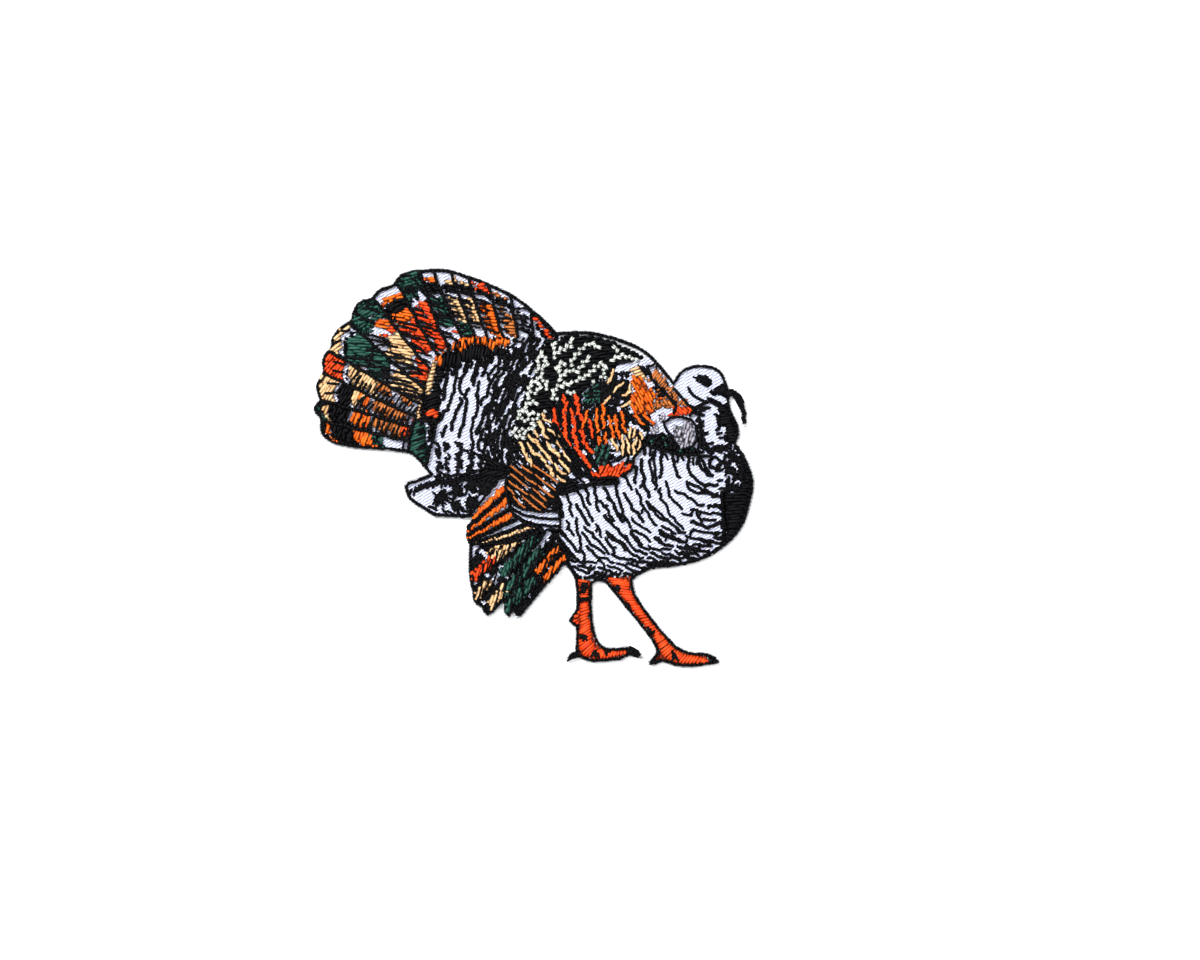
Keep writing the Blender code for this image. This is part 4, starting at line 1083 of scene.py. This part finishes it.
# Each leg: its fields, and the left and right edge of its satin from the body to the toe
LEGS = [
    (("near_shank", "near_foot"),
     [(8.7, -21.8), (8.9, -26.3), (9.0, -29.4), (9.1, -32.0), (8.9, -35.5), (9.6, -37.4), (11.5, -38.5),
      (14.4, -38.2), (18.6, -37.4)],
     [(11.6, -21.8), (11.1, -26.3), (11.3, -29.4), (11.6, -33.4), (12.2, -35.3), (13.4, -36.2),
      (15.4, -36.2), (17.0, -36.2), (18.6, -36.0)]),
    (("far_shank", "far_foot"),
     [(14.4, -21.6), (15.8, -23.4), (18.2, -26.6), (20.6, -29.7), (23.3, -33.1), (24.6, -35.4),
      (25.6, -37.6), (27.6, -38.9), (30.8, -39.3), (35.0, -39.1)],
     [(19.2, -21.6), (19.6, -23.0), (20.6, -25.6), (22.7, -28.6), (25.1, -31.7), (27.0, -34.2),
      (29.0, -36.0), (31.6, -37.2), (33.6, -37.8), (35.0, -38.2)]),
]

# Black spots of the legs: field, middle and size
LEG_SPOTS = [
    ("near_shank", (10.2, -23.6), 1.3), ("near_shank", (9.9, -24.8), 1.0), ("near_shank", (9.9, -34.0), 1.1),
    ("near_foot", (12.3, -37.2), 1.3), ("near_foot", (14.6, -36.9), 0.9), ("far_shank", (16.8, -24.0), 1.1),
    ("far_shank", (18.8, -27.6), 0.8), ("far_shank", (23.3, -32.8), 1.2), ("far_foot", (28.2, -37.8), 1.4)]


def legs():
    """Red satin across each shank and toe, with black claws and a few black knots."""
    for fields, left, right in LEGS:
        for field in fields:
            padding(field, "red", 80)
            column(field, "red", curve(left), curve(right), pitch=0.64, width=0.72, slant=0.8, ragged=0.08,
                   crown=0.2, whole=True)
    fill("near_shank", "red", 20, lambda x, y: x < 9.2, crown=0.1)
    fill("near_toe_claw", "black", 62)
    fill("far_toe_claw", "black", 62)
    for field, middle, size in LEG_SPOTS:
        knot(field, "black", middle, size)
    for y in (-25.9, -26.3):
        ring = curve([(8.0, y), (10.0, y - 0.3), (12.2, y + 0.2)])
        line("near_shank", "black", ring, level=ON_SATIN + 0.08)
    for claw in ([(9.2, -36.9), (8.0, -37.7), (6.7, -38.6)], [(9.0, -37.4), (7.9, -38.1)],
                 [(25.2, -36.8), (24.0, -38.0), (23.3, -39.1)],
                 [(23.6, -39.0), (24.8, -38.6), (26.2, -38.7)]):
        line("border", "black", curve(claw), level=ON_SATIN, width=LINE * 0.8)


# Fields with a black line round them, where nothing else is drawn so near that it would be doubled
LINED = {"wing_fold": None, "shoulder_edge": None, "primaries": None, "wing_stripes": None, "wing_bar": None,
         "undertail": None, "tail_stripe": None, "breast": lambda x, y: (y > -7.5) & (x < 36.0) | (x < 7.8)}
DOUBLED = 0.6                             # mm between two lines that count as the same


def edges():
    """A black line round the whole patch, finer at the legs and the head, and round some fields."""
    def slender(x, y):
        return (y < -22.6) & (x > 6.0) | (y > 13.0) & (x > 26.5)
    border = closed(inset(BORDER_MARGIN))
    line("border", "black", border, cords=2, width=LINE * 0.64, level=ON_CLOTH + 0.28,
         keep=lambda x, y: ~slender(x, y))
    line("border", "black", closed(inset(SLENDER_MARGIN)), cords=2, width=LINE * 0.56,
         level=ON_CLOTH + 0.3, keep=slender)
    drawn = border
    for field, keep in LINED.items():
        for loop in OUTLINES[field]:
            path = closed(loop)
            free = nearest(path, drawn) > DOUBLED
            for low, high in stretches(free, 8):
                way = wander(path[low:high], 0.06, 2.2, dice(field))
                line(field, "black", way, inside_of=[CUT_EDGE], level=ON_SATIN, keep=keep)
            drawn = np.vstack([drawn, path[free]])


# ------------------------------------------------------------------ meshes


def into_mesh(name, points, faces, smooth=True):
    """Mesh from an array of points in mm and arrays of faces with equal corner counts."""
    mesh = bpy.data.meshes.new(name)
    corners = np.concatenate([face.ravel() for face in faces])
    sizes = np.concatenate([np.full(len(face), face.shape[1]) for face in faces])
    mesh.vertices.add(points.size // 3)
    mesh.vertices.foreach_set("co", points.ravel() * MM)
    mesh.loops.add(len(corners))
    mesh.loops.foreach_set("vertex_index", corners)
    mesh.polygons.add(len(sizes))
    mesh.polygons.foreach_set("loop_start", np.cumsum(sizes) - sizes)
    mesh.polygons.foreach_set("use_smooth", np.full(len(sizes), smooth))
    mesh.update(calc_edges=True)
    made = bpy.data.objects.new(name, mesh)
    bpy.context.scene.collection.objects.link(made)
    return made


def tubes(name, points):
    """Closed tubes from points[tube, section, side]: quads between the sections and a cap at each end."""
    count, sections, sides = points.shape[:3]
    ring = np.arange(count * sections * sides).reshape(count, sections, sides)
    after = np.roll(ring, -1, axis=2)
    quads = np.stack([ring[:, :-1], after[:, :-1], after[:, 1:], ring[:, 1:]], -1)
    return into_mesh(name, points, [quads.reshape(-1, 4), ring[:, 0, ::-1], ring[:, -1]])


def per_corner(made, name, values):
    """UV map from a pair of numbers for each face corner."""
    layer = made.data.uv_layers.new(name=name)
    layer.data.foreach_set("uv", values.astype(np.float32).ravel())


def per_point(made, name, values):
    """Store a number for every vertex under a name that materials read."""
    made.data.attributes.new(name, "FLOAT", "POINT").data.foreach_set("value", values.astype(np.float32))


def stitches(name, table):
    """One bowed tube for each stitch. Along a stitch the tube leaves the ground, runs level and
    goes down again; across it, it is a flattened circle that is thinner at both ends."""
    chance = dice(name)
    starts, ends, width, level, crown = table[:, :2], table[:, 2:4], table[:, 4], table[:, 5], table[:, 6]
    count, sections = len(table), len(LIFT)
    span = ends - starts
    length = np.maximum(np.linalg.norm(span, axis=1), 0.05)
    forward = span / length[:, None]
    bend = np.clip(BEND / length, 0.06, 0.3)
    along = np.stack([0 * bend, bend, 0.35 + 0 * bend, 0.65 + 0 * bend, 1 - bend, 1 + 0 * bend], 1)
    sway = chance.normal(0, SWAY, count)[:, None] * np.sin(np.pi * along)
    side = np.stack([-forward[:, 1], forward[:, 0]], 1)
    flat = starts[:, None] + span[:, None] * along[..., None] + side[:, None] * sway[..., None]
    foot = np.where(level > ON_UNDERLAY + 0.1, IN_SATIN, IN_CLOTH)
    top = level + crown + chance.normal(0, UNEVEN_TOP, count)
    height = foot[:, None] + (top - foot)[:, None] * LIFT
    height += (crown * 0.9)[:, None] * (4 * along * (1 - along) - 1)
    turn = 2 * np.pi * (np.arange(SIDES) + 0.5) / SIDES
    half = width[:, None] / 2 * FULLNESS
    across = half[..., None] * np.cos(turn)
    up = half[..., None] * FLATNESS * np.sin(turn)
    points = np.empty((count, sections, SIDES, 3))
    points[..., :2] = flat[:, :, None] + side[:, None, None] * across[..., None]
    points[..., 2] = height[..., None] + up
    made = tubes(name, points)

    # Places of the face corners on a stitch: share of its length, and share of the way round
    middle = (starts + ends) / 2
    low, size = middle.min(0) - 0.5, np.ptp(middle, axis=0).max() + 1.0
    root = (middle - low) / size
    around = np.broadcast_to(np.arange(SIDES) / SIDES, (count, sections - 1, SIDES))
    t = np.broadcast_to(along[..., None], (count, sections, SIDES))
    quad = np.stack([np.stack([t[:, :-1], t[:, :-1], t[:, 1:], t[:, 1:]], -1),
                     around[..., None] + np.array([0, 1, 1, 0]) / SIDES], -1).reshape(count, -1, 2)
    caps = [np.stack([0 * around[:, 0] + end, around[:, 0]], -1) for end in (0, 1)]
    real_size = np.stack([length, 1 + 0 * length], 1)[:, None]
    per_corner(made, "OFBake", np.concatenate([(root[:, None] + BAKE_PATCH * at).reshape(-1, 2)
                                               for at in (quad, *caps)]))
    per_corner(made, "thread", np.concatenate([(at * real_size).reshape(-1, 2) for at in (quad, *caps)]))
    # Painted light and shade: each stitch keeps its lit colour on top and is painted dark on its sides and
    # towards its ends, and the padding under the satin darker still; how sharply varies from stitch to
    # stitch
    steepness = chance.uniform(1.0, 2.6, count)[:, None, None]
    ridge = np.maximum(np.sin(turn), 0.0) ** steepness * (0.5 + 0.5 * LIFT[:, None])
    painted_light = ridge * np.clip((level - CLOTH_TOP + 0.12) / 0.26, 0, 1)[:, None, None]
    per_point(made, "shade", np.repeat(chance.random(count), sections * SIDES))
    per_point(made, "painted_light", painted_light.ravel())
    return made


# ------------------------------------------------------------------ materials


class Wire:
    """A node's output. Arithmetic on it adds Math nodes, and node() adds any other node."""

    def __init__(self, tree, socket=None):
        self.tree = tree
        self.socket = socket

    def node(self, kind, settings, sockets, output=0):
        """Output of a new node whose settings, then socket values or links, are given."""
        made = self.tree.nodes.new(kind)
        for name, value in settings.items():
            setattr(made, name, value)
        for key, value in sockets.items():
            if isinstance(value, Wire):
                self.tree.links.new(value.socket, made.inputs[key])
            else:
                made.inputs[key].default_value = value
        return Wire(self.tree, made.outputs[output])

    def math(self, operation, one, other=0.0):
        """Output of a new Math node."""
        return self.node("ShaderNodeMath", {"operation": operation}, {0: one, 1: other})

    def __add__(self, other):
        return self.math("ADD", self, other)

    def __mul__(self, other):
        return self.math("MULTIPLY", self, other)

    def __sub__(self, other):
        return self.math("SUBTRACT", self, other)

    __radd__ = __add__
    __rmul__ = __mul__

    def wave(self):
        """Sine of this value, brought between 0 and 1."""
        return self.math("SINE", self) * 0.5 + 0.5

    def mix(self, one, other):
        """Colour between two, by this value."""
        return self.node("ShaderNodeMix", {"data_type": "RGBA"}, {0: self, 6: one, 7: other}, output=2)

    def x_and_y(self):
        """The first two parts of a vector."""
        x = self.node("ShaderNodeSeparateXYZ", {}, {0: self})
        return x, Wire(self.tree, x.socket.node.outputs[1])

    def noise(self, scale, detail):
        """Noise at the places that this vector gives."""
        return self.node("ShaderNodeTexNoise", {}, {"Vector": self, "Scale": scale, "Detail": detail})

    def stored(self, name):
        """A number that is stored on the mesh."""
        return self.node("ShaderNodeAttribute", {"attribute_name": name}, {}, output=2)

    def bump(self, strength, distance):
        """Normal that this height gives."""
        return self.node("ShaderNodeBump", {}, {"Strength": strength, "Distance": distance, "Height": self})

    def into(self, shader, name):
        """Link this output to an input of the shader."""
        self.tree.links.new(self.socket, shader.inputs[name])


def paint(red, green, blue):
    """Screen colour in 0 to 255 as the linear colour that a shader takes."""
    share = np.array([red, green, blue]) / 255
    linear = np.where(share <= 0.04045, share / 12.92, ((share + 0.055) / 1.055) ** 2.4)
    return (*[float(value) for value in linear], 1.0)


def new_material(name):
    """Material with its Principled shader, and a wire to start expressions from."""
    made = bpy.data.materials.new(name)
    made.use_nodes = True
    return made, made.node_tree.nodes["Principled BSDF"], Wire(made.node_tree)


def given(made, material):
    """Make this material the object's only one."""
    made.data.materials.clear()
    made.data.materials.append(material)


# Threads: darkest and lightest colour, roughness and specular level
THREADS = {
    "black": ((4, 4, 6), (15, 15, 18), 0.55, 0.06),
    "orange": ((196, 58, 2), (252, 122, 26), 0.50, 0.14),
    "red": ((192, 38, 8), (255, 88, 28), 0.50, 0.12),
    "tan": ((190, 134, 78), (252, 216, 166), 0.50, 0.18),
    "brown": ((132, 62, 18), (216, 128, 62), 0.50, 0.16),
    "green": ((6, 36, 32), (44, 98, 84), 0.50, 0.16),
    "silver": ((166, 174, 166), (240, 244, 238), 0.34, 0.5),
    "grey": ((92, 88, 100), (196, 192, 204), 0.44, 0.30),
}
PLY_LENGTH = 0.62                         # mm in which the plies of a thread turn once


def thread_material(name, dark, light, roughness, shine):
    """Two-ply embroidery thread: a fine twist along it, streaks, and painted shade of uneven depth on the
    sides and ends of the stitches and in the grooves between the plies.
    """
    made, shader, start = new_material(f"embroidery thread, {name}")
    along, around = start.node("ShaderNodeUVMap", {"uv_map": "thread"}, {}).x_and_y()
    shade = start.stored("shade")
    twist = (along * (2 * np.pi / PLY_LENGTH) + around * (4 * np.pi)).wave()
    place = start.node("ShaderNodeCombineXYZ", {}, {0: along * 1.1, 1: around * 5.0, 2: shade * 40.0})
    streak = place.noise(1.0, 2.0)
    # Colour follows the stitch's random tone and the streaks, and the twist adds painted shade in the
    # grooves between the plies
    lit = (shade * 0.5 + streak * 0.3 + twist * 0.2).mix(paint(*dark), paint(*light))
    # Painted shade: a quarter of the thread's darkest colour, shown on the sides and ends of each stitch and
    # on the padding, with the lit colour on the tops
    painted_shade = paint(*[value * 0.24 for value in dark])
    start.stored("painted_light").mix(painted_shade, lit).into(shader, "Base Color")
    (roughness + streak * 0.16 - 0.06).into(shader, "Roughness")
    twist.bump(0.5, 0.00005).into(shader, "Normal")
    shader.inputs["Specular IOR Level"].default_value = shine
    return made


def twill_material():
    """White cotton twill, faintly blue: yarn shades change from float to float, painted shade darkens the
    grooves between the wales, and the rim is greyer, partly its cut edge's own grey and partly painted
    shade.
    """
    made, shader, start = new_material("twill, white")
    lie = start.node("ShaderNodeTexCoord", {}, {}, output=3)
    cell = (1 / (FLOAT_LENGTH * MM), 1 / (WALE_PITCH * MM), 1)
    turned = start.node("ShaderNodeMapping", {}, {
        "Vector": lie, "Rotation": (0, 0, -np.radians(WALE_ANGLE)), "Scale": cell})
    cells = turned.noise(0.8, 1.0)
    # Painted shade: a bluish dark stripe that repeats once per wale, for the shade in the grooves between
    # the ribs
    wale = (turned.x_and_y()[1] * (2 * np.pi)).wave()
    depth = wale * 0.6 + cells * 0.4
    cloth = depth.mix(paint(150, 160, 206), paint(242, 243, 249))
    # Near the cut edge the cloth turns grey: partly the heat-cut edge's own colour, partly painted shade
    cut_edge_and_shade = depth.mix(paint(96, 100, 98), paint(198, 201, 196))
    (start.stored("rim") * 0.8).mix(cloth, cut_edge_and_shade).into(shader, "Base Color")
    (0.82 + cells * 0.1).into(shader, "Roughness")
    turned.noise(6.0, 3.0).bump(0.35, 0.00004).into(shader, "Normal")
    shader.inputs["Specular IOR Level"].default_value = 0.2
    shader.inputs["Sheen Weight"].default_value = 0.25
    return made


def film_material():
    """Milky heat-seal glue: clouds, and a grain where it is pressed into the weave."""
    made, shader, start = new_material("heat-seal film")
    lie = start.node("ShaderNodeTexCoord", {}, {}, output=3)
    cloud, grain = lie.noise(160.0, 3.0), lie.noise(1900.0, 2.0)
    (cloud * 0.7 + grain * 0.3).mix(paint(196, 198, 200), paint(232, 233, 232)).into(shader, "Base Color")
    (0.28 + cloud * 0.25).into(shader, "Roughness")
    grain.bump(0.4, 0.00008).into(shader, "Normal")
    return made


# ------------------------------------------------------------------ cloth


def flat_uv(made):
    """Map of a flat piece: its own outline seen square on, scaled into the unit square."""
    place = np.empty(len(made.data.vertices) * 3, np.float32)
    made.data.vertices.foreach_get("co", place)
    place = place.reshape(-1, 3)[:, :2]
    index = np.empty(len(made.data.loops), np.int32)
    made.data.loops.foreach_get("vertex_index", index)
    return (place[index] - place.min(0)) / np.ptp(place, axis=0).max()


def twill_cloth(material):
    """The cloth under its wales: the cut edge drawn up from the film, with a lid and a bottom."""
    count = len(CUT_EDGE)
    levels = (FILM_TOP, CLOTH_BODY - 0.06, CLOTH_BODY)
    points = np.vstack([np.column_stack([CUT_EDGE, np.full(count, z)]) for z in levels])
    ring = np.arange(3 * count).reshape(3, count)
    after = np.roll(ring, -1, axis=1)
    walls = [np.stack([ring[low], after[low], after[low + 1], ring[low + 1]], 1) for low in (0, 1)]
    made = into_mesh("twill_cloth", points, [*walls, ring[2:], ring[:1, ::-1]], smooth=False)
    shape = bmesh.new()
    shape.from_mesh(made.data)
    bmesh.ops.triangulate(shape, faces=[face for face in shape.faces if len(face.verts) > 4])
    shape.to_mesh(made.data)
    shape.free()
    per_corner(made, "OFBake", flat_uv(made))
    # The whole cloth under the wales takes the grey rim colour: where it shows between the floats and at its
    # cut edge, that grey is partly the edge's own colour and partly painted shade
    per_point(made, "rim", np.ones(len(made.data.vertices)))
    given(made, material)
    return made


def wales(material):
    """Raised floats of the twill, end to end in diagonal rows: each one a low four-sided tube. There
    are none under the fields that satin covers."""
    low, high = in_steps(*rows("patch", WALE_ANGLE, WALE_PITCH), FLOAT_LENGTH)
    hidden = in_fields(("back", "near_shank", "far_shank", "near_foot", "far_foot"), (low + high) / 2)
    low, high = low[~hidden], high[~hidden]
    forward = (high - low) / np.linalg.norm(high - low, axis=1)[:, None]
    side = np.stack([-forward[:, 1], forward[:, 0]], 1)
    sections = np.array([-0.02, 0.5, 1.02])
    fullness = np.array([0.45, 1.0, 0.45])
    turn = 2 * np.pi * np.arange(4) / 4
    half = FLOAT_HALF_WIDTH * fullness
    points = np.empty((len(low), 3, 4, 3))
    flat = low[:, None] + (high - low)[:, None] * sections[:, None]
    points[..., :2] = flat[:, :, None] + side[:, None, None] * (half[:, None] * np.cos(turn))[..., None]
    middle = CLOTH_BODY - 0.02 + 0.05 * fullness[:, None]
    points[..., 2] = middle + FLOAT_RISE * fullness[:, None] * np.sin(turn)
    halves = []
    upper = (low[:, 1] + high[:, 1]) / 2 > WALES_PART_AT
    for name, chosen in (("twill_wales_upper", upper), ("twill_wales_lower", ~upper)):
        made = tubes(name, points[chosen])
        per_corner(made, "OFBake", flat_uv(made))
        x, y = points[chosen][..., :2].reshape(-1, 2).T
        # Floats near the cut edge take the grey rim colour: partly the cut edge's own grey, partly painted
        # shade
        per_point(made, "rim", 1.0 - deep(x, y, 0.5))
        given(made, material)
        halves.append(made)
    return halves


# ------------------------------------------------------------------ the piece as a whole

LAMPS = [("key", (-0.36, 0.4, 0.8), 0.3, 15.0), ("fill", (0.6, -0.4, 0.8), 0.6, 5.0),
         ("top", (0.0, 0.1, 1.2), 1.0, 7.0)]      # name, place, size and power
CAMERA_PLACE = (0.01325, -0.00248, 0.568)         # straight above the middle of the view
FOCAL_LENGTH, SENSOR_WIDTH = 85, 36               # mm
WORLD_STRENGTH = 0.26


def studio():
    """Pale floor, soft light from above and a camera that looks straight down."""
    bpy.ops.mesh.primitive_plane_add(size=4.0, location=(0, 0, -0.0001))
    floor = bpy.context.active_object
    floor.name = "floor"
    material, shader, _ = new_material("pale floor")
    shader.inputs["Base Color"].default_value = (0.93, 0.93, 0.93, 1)
    shader.inputs["Roughness"].default_value = 0.9
    given(floor, material)
    for name, place, size, power in LAMPS:
        light = bpy.data.lights.new(name, "AREA")
        light.size = size
        light.energy = power
        holder = bpy.data.objects.new(name, light)
        holder.location = place
        holder.rotation_euler = (-Vector(place)).to_track_quat("-Z", "Y").to_euler()
        bpy.context.scene.collection.objects.link(holder)
    world = bpy.data.worlds.new("soft studio")
    world.use_nodes = True
    background = world.node_tree.nodes["Background"]
    background.inputs["Color"].default_value = (1, 1, 1, 1)
    background.inputs["Strength"].default_value = WORLD_STRENGTH
    bpy.context.scene.world = world
    bpy.context.scene.view_settings.view_transform = "Standard"
    lens = bpy.data.cameras.new("camera")
    lens.lens = FOCAL_LENGTH
    lens.sensor_width = SENSOR_WIDTH
    camera = bpy.data.objects.new("camera", lens)
    camera.location = CAMERA_PLACE
    bpy.context.scene.collection.objects.link(camera)
    bpy.context.scene.camera = camera


def main():
    """Sew every field, lay the cloth under it, and set it all in the studio."""
    for part in (tail, tail_base, rump, undertail, back, breast_and_belly, chest_front, shoulder_patches,
                 shoulder, coverts, covert_tips_and_bar, flight_feathers, wing_tips, head_and_neck,
                 legs, edges):
        part()
    materials = {name: thread_material(name, *look) for name, look in THREADS.items()}
    for (field, thread), tables in sorted(sewn.items()):
        piece = stitches(f"{field}.{thread}", np.vstack(tables))
        given(piece, materials[thread])
        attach(piece, "root")
        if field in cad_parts:
            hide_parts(field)
    twill = twill_material()
    cloth = twill_cloth(twill)
    ribs = wales(twill)
    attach(cloth, "root")
    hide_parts("twill_ground")
    for rib in ribs:
        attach(rib, "root")
    given(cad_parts["heat_seal_film"], film_material())
    studio()


main()
